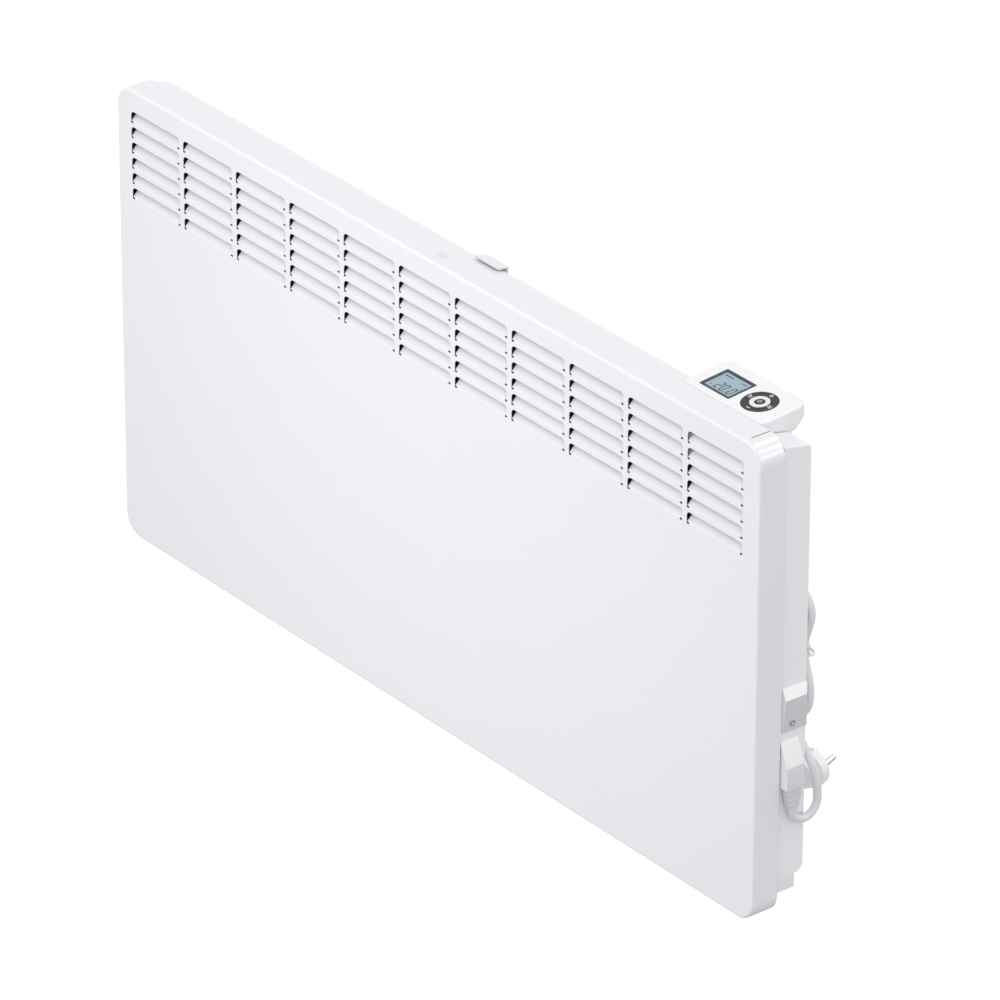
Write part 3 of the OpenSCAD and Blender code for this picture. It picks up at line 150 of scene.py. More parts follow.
# Mains cord: diameter, place of its exit as x, depth and height, and steps from there to the
# hank and from the hank to the plug
CORD_D = 7.2
CORD_EXIT = (450.6, 37.5, 102.5)
MAINS_STEPS = [
    [0, 0, 0], [0, 0.9, -4.9], [0, 3.5, -9.2], [0, 7.3, -12.4], [0, 11.8, -14.1],
    [0, 16.5, -14.1], [0, 21, -12.4], [0, 24.8, -9.2], [0, 27.2, -4.9], [0, 28.2, 0.2],
    [0, 28, 9], [-0.6, 27, 18.6], [-2.4, 25.4, 28.2], [-6, 23.9, 37.1], [-11.3, 22.9, 44.9],
    [-17.9, 22.7, 50.9], [-25, 22.7, 54.9], [-32, 22.7, 56.9], [-38.9, 22.7, 57.3],
]
PLUG_STEPS = [
    [0, 0, 0], [-0.7, 0, -5.7], [-2.6, -0.1, -11], [-5.7, -0.3, -15.8], [-9.6, -0.6, -19.9],
    [-13.7, -0.9, -23.9], [-17.5, -1.2, -28.2], [-19.6, -0.9, -33.5], [-19.7, -0.2, -39.2],
]
# Hank: gap between its two layers, half of its straight runs, outer radius, step of the
# radius, narrowing at the waist, and height of the waist above the middle
HANK_LAYER = 8.8
HANK_RUN = 37.9
HANK_R0 = 31
HANK_STEP = 8.3
HANK_WAIST = 9
HANK_WAIST_UP = 4.4
# Turns of the hank, the turn past which the radius follows the second layer, and its points
HANK_TURNS, HANK_CHANGE, HANK_POINTS = 4, 2.4, 420
# Points of the curve between two steps of the cord
CORD_PER_STEP = 8
# Remesh of the plug, in mm, and the smoothing that melts its edges together
PLUG_VOXEL, PLUG_SMOOTH, PLUG_ROUNDS = 0.55, 0.5, 6
# Wire tie: squareness of its turns, and how far they spread up and down
TIE_SQUARE, TIE_SPREAD = 0.42, 1.1

# Strain relief: half depth at the top, what it loses to its foot, ribs, depth of the grooves
# as a share of the width, rows of points and points in a row
SLEEVE_HALF, SLEEVE_TAPER, RIBS, RIB_CUT, SLEEVE_ROWS, SLEEVE_SIDES = 8, 2.8, 4, 0.06, 41, 48

# Latch spring: turns, wire, rise of each end turn, and the share of its length that is left
# when the latch is up
SPRING_TURNS, SPRING_WIRE, SPRING_END, SPRING_KEEP = 8, 0.8, 1.1, 0.75

# Camera: place in metres; turn, downward look and roll in degrees; lens and sensor in mm
CAMERA_AT = (4.9520, -3.9126, 3.2941)
CAMERA_TURN = (51.8728, 27.8701, 0.1072)
CAMERA_LENS, CAMERA_SENSOR, CAMERA_FAR = 294.94, 36, 100
# Floor: half its side and its height in metres, and a faint glow that makes it paper white
FLOOR_HALF, FLOOR_Z, FLOOR_GLOW = 6, -1.3, 0.03
# Sun: where it stands, and its spread in degrees
SUN_FROM, SUN_SPREAD = (0.10, -0.61, 0.787), 35
# Front lamp: place and side in metres
FRONT_LAMP_AT, FRONT_LAMP_SIZE = (-0.05, -1.0, 0.2), 0.5
# Strip lamps: the corner that they stand round, the way from it to the camera, their distance
# and sides in metres, and the turns of the corner, in degrees from the top, where they show
GLOSS_AT, GLOSS_VIEW = (0.44, -0.09, 0.22), (0.6954, -0.5458, 0.4675)
GLOSS_AWAY, GLOSS_W, GLOSS_L = 3, 0.3, 1.5
GLOSS_ANGLES = (28, 47, 62)

# What each slot is really made of: its common name, colour, roughness, metal share, grain
# size and height in mm, spread of the roughness, and spread of the colour
FINISHES = {
    # Baked coats: a fine orange peel, so that flat sheet looks calm and rounded edges shine
    "white_powder_coat": ("polyester powder coat", "#F1F1F5", 0.30, 0, 0.9, 0.008, 0.02, 0.012),
    "latch_plate": ("powder-coated strip", "#F1F1F5", 0.42, 0, 0.9, 0.012, 0.05, 0.012),
    "painted_screw": ("painted screw head", "#E9E9EC", 0.38, 0, 0.6, 0.008, 0.05, 0.02),
    # Injection mouldings: an even satin with the faint pebble of the mould
    "white_plastic": ("moulded ABS", "#F7F7FA", 0.40, 0, 0.35, 0.006, 0.04, 0.010),
    "island_white": ("polished ABS", "#EDEDF1", 0.30, 0, 0.35, 0.003, 0.04, 0.010),
    "outlet_grey": ("satin ABS", "#FBFBFD", 0.46, 0, 0.4, 0.008, 0.05, 0.015),
    "key_dark": ("dark moulded ABS", "#1C1E22", 0.38, 0, 0.3, 0.004, 0.05, 0.020),
    "black_plastic": ("black polyamide", "#262626", 0.50, 0, 0.4, 0.006, 0.05, 0.030),
    "switch_plastic": ("switch housing", "#C4C4C6", 0.45, 0, 0.4, 0.004, 0.05, 0.020),
    "sensor_plastic": ("potted sensor", "#424345", 0.50, 0, 0.4, 0.006, 0.05, 0.030),
    "terminal_plastic": ("green polyamide", "#2F7A4C", 0.48, 0, 0.4, 0.006, 0.05, 0.030),
    "cutout_ceramic": ("phenolic moulding", "#4A4846", 0.58, 0, 0.5, 0.010, 0.06, 0.050),
    # Soft vinyl and rubber: duller, with a slightly uneven skin that catches light softly
    "cord_grey": ("PVC sheath", "#E6E6EA", 0.48, 0, 0.8, 0.010, 0.06, 0.020),
    "tie_white": ("PVC on tie wire", "#F2F2F2", 0.45, 0, 0.5, 0.004, 0.04, 0.010),
    "plug_vinyl": ("moulded PVC", "#FCFCFD", 0.44, 0, 0.6, 0.008, 0.06, 0.015),
    "pale_pad": ("natural rubber", "#E2E2E6", 0.62, 0, 0.5, 0.020, 0.06, 0.020),
    "rubber_pad": ("EPDM rubber", "#303031", 0.72, 0, 0.5, 0.020, 0.06, 0.050),
    "silicone": ("silicone rubber", "#A83A26", 0.55, 0, 0.6, 0.008, 0.06, 0.040),
    "wire_red": ("red silicone wire", "#8E2A20", 0.50, 0, 0.5, 0.006, 0.06, 0.040),
    "wire_brown": ("brown PVC wire", "#553524", 0.45, 0, 0.5, 0.006, 0.06, 0.040),
    "wire_green": ("green PVC wire", "#83A32C", 0.45, 0, 0.5, 0.006, 0.06, 0.040),
    "wire_grey": ("grey PVC wire", "#6A6A6C", 0.45, 0, 0.5, 0.006, 0.06, 0.040),
    # Display and boards: smooth, so that they mirror the surroundings a little
    "display_bezel": ("smoked acrylic", "#30343A", 0.24, 0, 0.3, 0.002, 0.04, 0.010),
    "display_glass": ("reflective liquid crystal", "#9EB6C5", 0.14, 0, 6.0, 0.000, 0.02, 0.030),
    "board_green": ("solder mask", "#1C6A3C", 0.32, 0, 0.5, 0.004, 0.06, 0.060),
    # Plated and rolled metals: cloudy zinc, drawn wire, and aluminium brushed along its length
    "zinc_plate": ("zinc-coated sheet", "#C8C9C8", 0.38, 1, 7.0, 0.004, 0.10, 0.080),
    "spring_wire": ("spring steel", "#B4B5B8", 0.26, 1, 1.5, 0.003, 0.08, 0.050),
    "bright_steel": ("bright zinc plating", "#CBCCCF", 0.22, 1, 2.0, 0.002, 0.06, 0.040),
    "nickel_plate": ("nickel-plated brass", "#D2D1CC", 0.18, 1, 2.0, 0.002, 0.05, 0.030),
    "bare_aluminium": ("rolled aluminium", "#CFD0D2", 0.36, 1, 3.0, 0.004, 0.10, 0.050),
    "sheath_steel": ("heat-tinted steel", "#8A817A", 0.44, 1, 4.0, 0.005, 0.12, 0.180),
    "brass_stud": ("turned brass", "#C4A460", 0.28, 1, 1.5, 0.003, 0.08, 0.050),
}
# Finishes that aren't slots: a lighter copy of the casing's coat that paints light on it, greys
# that paint shade on the sides of the cable box and the outlet and under the control unit, the
# first also the strain relief's own grey, a dark zinc that is partly bare zinc and partly painted
# shade inside and on cut edges, and the two printing inks
CASING_PAINTED_LIGHT = ("#F7F7FB", 0.42, 0, 0.9, 0.012, 0.05, 0.012)
SIDE_SHADE_AND_RELIEF_GREY = ("#D8D8DD", 0.46, 0, 0.4, 0.008, 0.05, 0.015)
OUTLET_SIDE_SHADE_GREY = ("#E0E0E4", 0.46, 0, 0.4, 0.008, 0.05, 0.015)
HEAD_UNDER_SHADE_GREY = ("#E6E6EA", 0.36, 0, 0.35, 0.006, 0.05, 0.012)
ZINC_AND_PAINTED_SHADE = ("#5E6063", 0.55, 1, 9.0, 0.004, 0.12, 0.120)
LCD_INK = ("#2B3845", 0.35, 0, 0.3, 0.000, 0.02, 0.000)
LEGEND_WHITE = ("#E8EAEC", 0.40, 0, 0.3, 0.000, 0.02, 0.000)
# Least height of the control unit's top faces, in metres
HEAD_TOP_LEAST = 0.22
# Most Z of the normal of a face of the control unit's sloping underside, which gets painted shade
UNDER_MOST = -0.25
# Least X of the normal of a face that looks straight out of the side, which gets painted shade
OUTWARD_LEAST = 0.98
# Metals with a brushed grain, how far it is drawn out, and the size of the slow changes in mm
BRUSHED = ("bare_aluminium", "bright_steel")
BRUSH_STRETCH = 14
MOTTLE = 45


# ---------------------------------------------------------------- places

def place(x, d, h):
    """Row-frame points in metres from x, depth behind the front face and height, in mm."""
    x, d, h = np.broadcast_arrays(x, d, h)
    return np.stack([x, d - WALL_DEPTH, h - COVER_H / 2], -1) * MM


def on_face(points):
    """Points of the control unit's sloping face, in mm, taken into the row frame."""
    p = np.asarray(points, float)
    c, s = math.cos(FACE_TILT), math.sin(FACE_TILT)
    y = p[..., 1] * c - p[..., 2] * s
    z = p[..., 1] * s + p[..., 2] * c
    return place(FACE_X + p[..., 0], FACE_D + y, FACE_H + z)


# ---------------------------------------------------------------- finishes

def lin(code):
    """Linear colour of an sRGB hex code."""
    c = np.array([int(code[i:i + 2], 16) for i in (1, 3, 5)]) / 255
    c = np.where(c <= 0.04045, c / 12.92, ((c + 0.055) / 1.055) ** 2.4)
    return (*c.tolist(), 1.0)


def put(tree, kind, values=None, links=None, **settings):
    """Adds a node, sets its settings and constants, and links its inputs."""
    made = tree.nodes.new(kind)
    for key, value in settings.items():
        setattr(made, key, value)
    for key, value in (values or {}).items():
        made.inputs[key].default_value = value
    for key, source in (links or {}).items():
        tree.links.new(source, made.inputs[key])
    return made


def new_tree(name):
    """An empty material and its node tree."""
    made = bpy.data.materials.new(name)
    made.use_nodes = True
    made.node_tree.nodes.clear()
    return made, made.node_tree


def make_finish(name, recipe, brushed=False):
    """Builds a finish: a fine grain in the bump, slow changes of roughness and colour.

    The grain is a noise at the given size; on brushed metal it is drawn out along X. The
    roughness and the colour follow a second, larger noise, as real coats and moulds do.
    """
    code, rough, metal, grain, height, rough_spread, colour_spread = recipe
    made, tree = new_tree(name)
    place_node = put(tree, "ShaderNodeTexCoord")
    source = place_node.outputs["Object"]
    if brushed:
        source = put(tree, "ShaderNodeMapping", {"Scale": (1 / BRUSH_STRETCH, 1, 1)},
                     {"Vector": source}).outputs[0]
    fine = put(tree, "ShaderNodeTexNoise", {"Scale": 1000 / grain, "Detail": 3.0},
               {"Vector": source})
    slow = put(tree, "ShaderNodeTexNoise", {"Scale": 1000 / MOTTLE, "Detail": 4.0},
               {"Vector": place_node.outputs["Object"]})
    rough_node = put(tree, "ShaderNodeMapRange",
                     {"From Min": 0.3, "From Max": 0.7, "To Min": rough - rough_spread,
                      "To Max": rough + rough_spread}, {"Value": slow.outputs[0]})
    base = np.array(lin(code))
    low = base * (1 - colour_spread)
    low[3] = 1
    colour = put(tree, "ShaderNodeMix", {"A": low.tolist(), "B": base.tolist()},
                 {"Factor": slow.outputs[0]}, data_type="RGBA")
    shader = put(tree, "ShaderNodeBsdfPrincipled", {"Metallic": float(metal)},
                 {"Base Color": colour.outputs["Result"], "Roughness": rough_node.outputs[0]})
    if height:
        bump = put(tree, "ShaderNodeBump", {"Strength": 1.0, "Distance": height * MM},
                   {"Height": fine.outputs[0]})
        tree.links.new(bump.outputs[0], shader.inputs["Normal"])
    put(tree, "ShaderNodeOutputMaterial", links={"Surface": shader.outputs[0]})
    return made


def finish(slot):
    """The finish of one of the record's material slots, made once."""
    name, *recipe = FINISHES[slot]
    return bpy.data.materials.get(name) or make_finish(name, recipe, slot in BRUSHED)


def extra(name, recipe):
    """A finish that isn't one of the record's slots, made once."""
    return bpy.data.materials.get(name) or make_finish(name, recipe)


# ---------------------------------------------------------------- meshes

def grid(rows, cols, wrap=False):
    """Quads of a grid of points, row by row; wrap joins the last column to the first."""
    i, j = np.meshgrid(np.arange(rows - 1), np.arange(cols if wrap else cols - 1), indexing="ij")
    a, b = i * cols + j, i * cols + (j + 1) % cols
    return np.stack([a, b, b + cols, a + cols], -1).reshape(-1, 4).tolist()


def filled(borders, first):
    """Flat triangles inside an outline and outside its openings, counted from a first point."""
    corners = [[Vector(p) for p in border] for border in borders]
    return [[first + i for i in triangle] for triangle in tessellate_polygon(corners)]


def add_mesh(name, points, faces, slot, body, stands_for=()):
    """Adds a smooth-shaded piece that rides on a body and stands for CAD nodes."""
    mesh = bpy.data.meshes.new(name)
    mesh.from_pydata(np.asarray(points, float).reshape(-1, 3).tolist(), [], faces)
    return add_piece(name, mesh, slot, body, stands_for)


def add_piece(name, mesh, slot, body, stands_for=()):
    """Makes a mesh into a piece of the heater."""
    mesh.update()
    mesh.polygons.foreach_set("use_smooth", np.ones(len(mesh.polygons), bool))
    obj = bpy.data.objects.new(name, mesh)
    bpy.context.scene.collection.objects.link(obj)
    mesh.materials.clear()
    mesh.materials.append(finish(slot))
    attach(obj, body)
    if stands_for:
        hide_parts(*stands_for)
    return obj


def modify(obj, kind, name, **settings):
    """Adds a modifier with its settings."""
    made = obj.modifiers.new(name, kind)
    for key, value in settings.items():
        setattr(made, key, value)
    return made


def merge(mesh, distance=1e-5):
    """Merges points that lie on each other, drops what that flattens, turns faces outwards."""
    work = bmesh.new()
    work.from_mesh(mesh)
    bmesh.ops.remove_doubles(work, verts=work.verts, dist=distance)
    bmesh.ops.dissolve_degenerate(work, edges=work.edges, dist=distance / 10)
    bmesh.ops.recalc_face_normals(work, faces=work.faces)
    work.to_mesh(mesh)
    work.free()


def settle(obj, sharp=None):
    """Bakes the modifiers into the mesh, and marks edges sharper than an angle."""
    shown = obj.evaluated_get(bpy.context.evaluated_depsgraph_get())
    mesh = bpy.data.meshes.new_from_object(shown)
    obj.modifiers.clear()
    old, obj.data = obj.data, mesh
    bpy.data.meshes.remove(old)
    mesh.polygons.foreach_set("use_smooth", np.ones(len(mesh.polygons), bool))
    if sharp:
        mesh.set_sharp_from_angle(angle=math.radians(sharp))


def of_faces(mesh, name, width=3):
    """A value of each face of a mesh, such as its normal, as rows of an array."""
    values = np.zeros(len(mesh.polygons) * width)
    mesh.polygons.foreach_get(name, values)
    return values.reshape(-1, width)


def second_material(obj, material, chosen):
    """Gives the chosen faces of a piece a second material."""
    obj.data.materials.append(material)
    obj.data.polygons.foreach_set("material_index", chosen.astype(np.int32))


def softened(node, body, slot, width, segments=2, angle=28):
    """A piece with the CAD node's shape and rounded edges.

    The CAD mesh is copied, its doubled points are merged and its flat faces joined, and a
    Bevel rounds what is left at an angle, as paint, moulding or pressing does.
    """
    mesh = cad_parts[node].data.copy()
    work = bmesh.new()
    work.from_mesh(mesh)
    bmesh.ops.remove_doubles(work, verts=work.verts, dist=SAME_POINT)
    bmesh.ops.dissolve_limit(work, angle_limit=SAME_PLANE, verts=work.verts, edges=work.edges)
    bmesh.ops.recalc_face_normals(work, faces=work.faces)
    work.to_mesh(mesh)
    work.free()
    obj = add_piece(node + "_finished", mesh, slot, body, [node])
    modify(obj, "BEVEL", "rounded edges", width=width * MM, segments=segments,
           limit_method="ANGLE", angle_limit=math.radians(angle), use_clamp_overlap=True)
    modify(obj, "WEIGHTED_NORMAL", "flat faces")
    return obj


def spline(points, per_span):
    """A Catmull-Rom curve through points, in whole arrays."""
    p = np.asarray(points, float)
    q = np.vstack([2 * p[0] - p[1], p, 2 * p[-1] - p[-2]])
    t = np.linspace(0, 1, per_span, endpoint=False)[None, :, None]
    a, b, c, d = (q[k:len(q) - 3 + k, None, :] for k in range(4))
    body = 0.5 * (2 * b + (c - a) * t + (2 * a - 5 * b + 4 * c - d) * t ** 2
                  + (3 * b - a - 3 * c + d) * t ** 3)
    return np.vstack([body.reshape(-1, 3), p[-1:]])


def even(points, step):
    """The same line with its points about one step apart."""
    p = np.asarray(points, float)
    s = np.concatenate([[0], np.cumsum(np.linalg.norm(np.diff(p, axis=0), axis=1))])
    t = np.linspace(0, s[-1], max(2, round(s[-1] / step)) + 1)
    return np.stack([np.interp(t, s, p[:, k]) for k in range(3)], -1)


def frames(path):
    """Tangent and two normals at each point of a path, without twist between neighbours."""
    t = np.gradient(path, axis=0)
    t /= np.linalg.norm(t, axis=1)[:, None]
    n = np.zeros_like(t)
    n[0] = np.cross(t[0], np.eye(3)[np.argmin(np.abs(t[0]))])
    n[0] /= np.linalg.norm(n[0])
    for i in range(1, len(t)):
        n[i] = n[i - 1] - t[i] * (n[i - 1] @ t[i])
        n[i] /= np.linalg.norm(n[i])
    return t, n, np.cross(t, n)


def tube(path, radius, sides):
    """Points and faces of a closed tube: circles square to the path, a pole at each end."""
    t, n, b = frames(path)
    a = np.linspace(0, 2 * math.pi, sides, endpoint=False)
    r = np.broadcast_to(radius, len(path))[:, None, None]
    rings = path[:, None] + r * (np.cos(a)[None, :, None] * n[:, None]
                                 + np.sin(a)[None, :, None] * b[:, None])
    count = rings.shape[0] * sides
    points = np.vstack([rings.reshape(-1, 3), path[:1], path[-1:]])
    k = np.arange(sides)
    start = np.stack([np.full(sides, count), (k + 1) % sides, k], -1)
    end = np.stack([np.full(sides, count + 1), count - sides + k,
                    count - sides + (k + 1) % sides], -1)
    return points, grid(len(path), sides, True) + start.tolist() + end.tolist()


def plates(name, shapes, low, high, recipe, body, slot):
    """Thin printed or moulded marks on the control unit's face.

    Each shape is a flat outline in mm; it becomes a prism from one height to another.
    """
    points, faces = [], []
    for shape in shapes:
        flat = np.asarray(shape, float)
        n, first = len(flat), len(points)
        for z in (low, high):
            points += np.column_stack([flat, np.full(n, z)]).tolist()
        k = np.arange(n)
        faces.append((first + n + k).tolist())
        faces.append((first + k[::-1]).tolist())
        side = np.stack([first + k, first + (k + 1) % n, first + n + (k + 1) % n,
                         first + n + k], -1)
        faces += side.tolist()
    obj = add_mesh(name, on_face(points), faces, slot, body)
    merge(obj.data, 1e-8)
    obj.data.polygons.foreach_set("use_smooth", np.zeros(len(obj.data.polygons), bool))
    obj.data.materials[0] = extra(name + "_ink", recipe)
    return obj


# ---------------------------------------------------------------- settings

def length(name, text, default, least, most):
    """A length that a user may change, given in mm."""
    return bpy.props.FloatProperty(name=name, description=text, default=default * MM,
                                   min=least * MM, max=most * MM, subtype="DISTANCE",
                                   unit="LENGTH")


class CordSettings(bpy.types.PropertyGroup):
    sides: bpy.props.IntProperty(
        name="Sides", description="Faces round the cord", default=20, min=8, max=48)
    step: length("Step", "Distance between the cord's rings", 2.5, 1, 10)
    tie_wire: length("Tie wire", "Diameter of the wire tie", 1.3, 0.5, 3)


class CoverSettings(bpy.types.PropertyGroup):
    corner: length("Corner radius", "Radius of the cover's corners", 20, 5, 40)
    bend: length("Bend radius", "Outside radius of the folded edge", 2.4, 1, 6)
    lean: bpy.props.FloatProperty(
        name="Louvre lean", description="Inward lean of the louvres",
        default=math.radians(42), min=0.2, max=1.2, subtype="ANGLE", unit="ROTATION")
    sheet: length("Sheet", "Thickness of the painted sheet", 1.0, 0.5, 2)


class ControlSettings(bpy.types.PropertyGroup):
    edge: length("Edge radius", "Radius of the control unit's upper edges", 2.4, 0.5, 5)
    wall: length("Wall", "Wall of the moulded shell", 2.0, 1, 3)


class StageSettings(bpy.types.PropertyGroup):
    sky: bpy.props.FloatProperty(
        name="Sky", description="Strength of the soft light from all round", default=0.94,
        min=0, max=3)
    key_light: bpy.props.FloatProperty(
        name="Key light", description="Strength of the soft light from above", default=0.18,
        min=0, max=10)
    front_lamp: bpy.props.FloatProperty(
        name="Front lamp", description="Power of the soft lamp in front of the heater, in watts",
        default=2.45, min=0, max=50)
    gloss: bpy.props.FloatProperty(
        name="Gloss lamps", description="Power of each strip lamp behind the heater, in watts",
        default=24.0, min=0, max=100)
    floor: bpy.props.FloatVectorProperty(
        name="Floor colour", description="Colour of the pale floor",
        default=(1.0, 1.0, 1.0), min=0, max=1, subtype="COLOR")
    bounce: bpy.props.FloatProperty(
        name="Bounce", description="Share of the light that the floor sends back up",
        default=0.41, min=0, max=1)


# ---------------------------------------------------------------- camera and stage

class HEATER_OT_camera(bpy.types.Operator):
    """Adds the camera that sees the heater as the photo does"""
    bl_idname = "heater.camera"
    bl_label = "Camera"

    def execute(self, context):
        data = bpy.data.cameras.new("camera")
        data.lens, data.sensor_width, data.clip_end = CAMERA_LENS, CAMERA_SENSOR, CAMERA_FAR
        camera = bpy.data.objects.new("camera", data)
        context.scene.collection.objects.link(camera)
        az, el, roll = (math.radians(v) for v in CAMERA_TURN)
        level = Vector((math.cos(az), math.sin(az), 0))
        look = Vector((-math.sin(az) * math.cos(el), math.cos(az) * math.cos(el), -math.sin(el)))
        steep = level.cross(look)
        right = level * math.cos(roll) + steep * math.sin(roll)
        up = steep * math.cos(roll) - level * math.sin(roll)
        turned = Matrix((right, up, -look)).transposed().to_4x4()
        camera.matrix_world = Matrix.Translation(CAMERA_AT) @ turned
        context.scene.camera = camera
        return {"FINISHED"}


class HEATER_OT_stage(bpy.types.Operator):
    """Adds the pale floor, the soft lamps and the white surroundings"""
    bl_idname = "heater.stage"
    bl_label = "Stage"

    def execute(self, context):
        said = context.scene.heater_stage
        scene = context.scene
        scene.view_settings.view_transform = "Standard"

        # Floor far below: pale to the camera, a little greyer as a source of bounced light
        mesh = bpy.data.meshes.new("floor")
        corners = [(x * FLOOR_HALF, y * FLOOR_HALF, FLOOR_Z)
                   for x, y in ((-1, -1), (1, -1), (1, 1), (-1, 1))]
        mesh.from_pydata(corners, [], [(0, 1, 2, 3)])
        floor = bpy.data.objects.new("floor", mesh)
        scene.collection.objects.link(floor)
        made, tree = new_tree("floor_paper")
        ray = put(tree, "ShaderNodeLightPath")
        colour = put(tree, "ShaderNodeMix",
                     {"A": (*(said.bounce,) * 3, 1), "B": (*said.floor, 1)},
                     {"Factor": ray.outputs["Is Camera Ray"]}, data_type="RGBA")
        paper = put(tree, "ShaderNodeBsdfDiffuse", links={"Color": colour.outputs["Result"]})
        glow = put(tree, "ShaderNodeEmission", {"Strength": FLOOR_GLOW})
        both = put(tree, "ShaderNodeAddShader", links={0: paper.outputs[0], 1: glow.outputs[0]})
        put(tree, "ShaderNodeOutputMaterial", links={"Surface": both.outputs[0]})
        mesh.materials.append(made)

        # Soft sun from above and in front, a little to the right
        sun = self.lamp("key_light", "SUN", said.key_light)
        sun.data.angle = math.radians(SUN_SPREAD)
        sun.rotation_euler = Vector(SUN_FROM).to_track_quat("Z", "Y").to_euler()

        # Soft square lamp in front of the middle, so that the panel fades towards its ends
        front = self.lamp("front_lamp", "AREA", said.front_lamp)
        front.data.size = FRONT_LAMP_SIZE
        front.location = FRONT_LAMP_AT
        front.rotation_euler = (math.radians(90), 0, 0)
        front.visible_camera = False

        # Strip lamps that show only as gloss on the rounded corners: each stands where the
        # corner, at one of its turns, mirrors it into the camera
        view = Vector(GLOSS_VIEW)
        for turn in map(math.radians, GLOSS_ANGLES):
            normal = Vector((math.sin(turn), 0, math.cos(turn)))
            away = 2 * normal.dot(view) * normal - view
            along = (Vector((0, 1, 0)) - away * away.y).normalized()
            strip = self.lamp("gloss_lamp", "AREA", said.gloss)
            strip.data.shape = "RECTANGLE"
            strip.data.size, strip.data.size_y = GLOSS_W, GLOSS_L
            strip.matrix_world = Matrix.Translation(Vector(GLOSS_AT) + GLOSS_AWAY * away) \
                @ Matrix((along.cross(away), along, away)).transposed().to_4x4()
            strip.visible_camera = strip.visible_diffuse = False

        # Even light all round, and white where the camera looks past the heater
        world = bpy.data.worlds.new("surroundings")
        scene.world = world
        world.use_nodes = True
        tree = world.node_tree
        tree.nodes.clear()
        ray = put(tree, "ShaderNodeLightPath")
        sky = put(tree, "ShaderNodeBackground", {"Color": (1, 1, 1, 1), "Strength": said.sky})
        white = put(tree, "ShaderNodeBackground", {"Color": (1, 1, 1, 1), "Strength": 1.0})
        both = put(tree, "ShaderNodeMixShader", links={0: ray.outputs["Is Camera Ray"],
                                                       1: sky.outputs[0], 2: white.outputs[0]})
        put(tree, "ShaderNodeOutputWorld", links={"Surface": both.outputs[0]})
        return {"FINISHED"}

    def lamp(self, name, kind, power):
        """Adds a lamp to the scene."""
        data = bpy.data.lights.new(name, kind)
        data.energy = power
        made = bpy.data.objects.new(name, data)
        bpy.context.scene.collection.objects.link(made)
        return made


# ---------------------------------------------------------------- cord

def eased(k):
    """Half a cosine from 0 to 1."""
    return (1 - np.cos(np.pi * np.clip(k, 0, 1))) / 2


def hank_line(end):
    """Centreline of the hank, in mm from where the mains cord reaches it.

    Stadium turns of two straight runs and two half circles. The radius steps inwards at the
    upper folds of the first layer and outwards at the lower folds of the second, and a
    squared cosine draws the runs together at the waist.
    """
    mean = HANK_R0 - HANK_STEP
    f = math.pi * mean / (2 * math.pi * mean + 4 * HANK_RUN)  # share of a turn in one fold
    s = 0.5 - f  # share of a turn in one straight run
    t = np.linspace(0, HANK_TURNS - f / 2, HANK_POINTS)
    u = t % 1
    up = np.floor(t) + eased((u - f / 2 - s) / f)
    v = (t - 0.5) % 1
    down = np.floor(t - 0.5) + eased((v - 0.5 + f / 2) / f)
    r = HANK_R0 - HANK_STEP * np.where(t < HANK_CHANGE, np.minimum(2, up), HANK_TURNS - down)
    a0, a1, a2 = np.pi * u / f, np.pi * (u - f / 2 - s) / f, np.pi * (1 - u) / f
    zones = [u < f / 2, u < f / 2 + s, u < 1.5 * f + s, u < 1.5 * f + 2 * s]
    x = np.select(zones, [-r * np.sin(a0), -r, -r * np.cos(a1), r], r * np.sin(a2))
    z = np.select(zones, [
        -HANK_RUN - r * np.cos(a0), -HANK_RUN + 2 * HANK_RUN * (u - f / 2) / s,
        HANK_RUN + r * np.sin(a1), HANK_RUN - 2 * HANK_RUN * (u - 1.5 * f - s) / s],
        -HANK_RUN - r * np.cos(a2))
    off = np.minimum(1, np.abs(z - HANK_WAIST_UP) / HANK_RUN)
    waist = HANK_WAIST * np.cos(np.pi / 2 * off) ** 2
    x = np.where(x < 0, -1, 1) * np.maximum(0, np.abs(x) - waist)
    y = HANK_LAYER * eased((t - 2 - f / 2) / s)
    centre = end + np.array([0, 0, HANK_RUN + HANK_R0])
    return centre + np.stack([x, y, z], -1), centre + np.array([0, HANK_LAYER / 2, HANK_WAIST_UP])


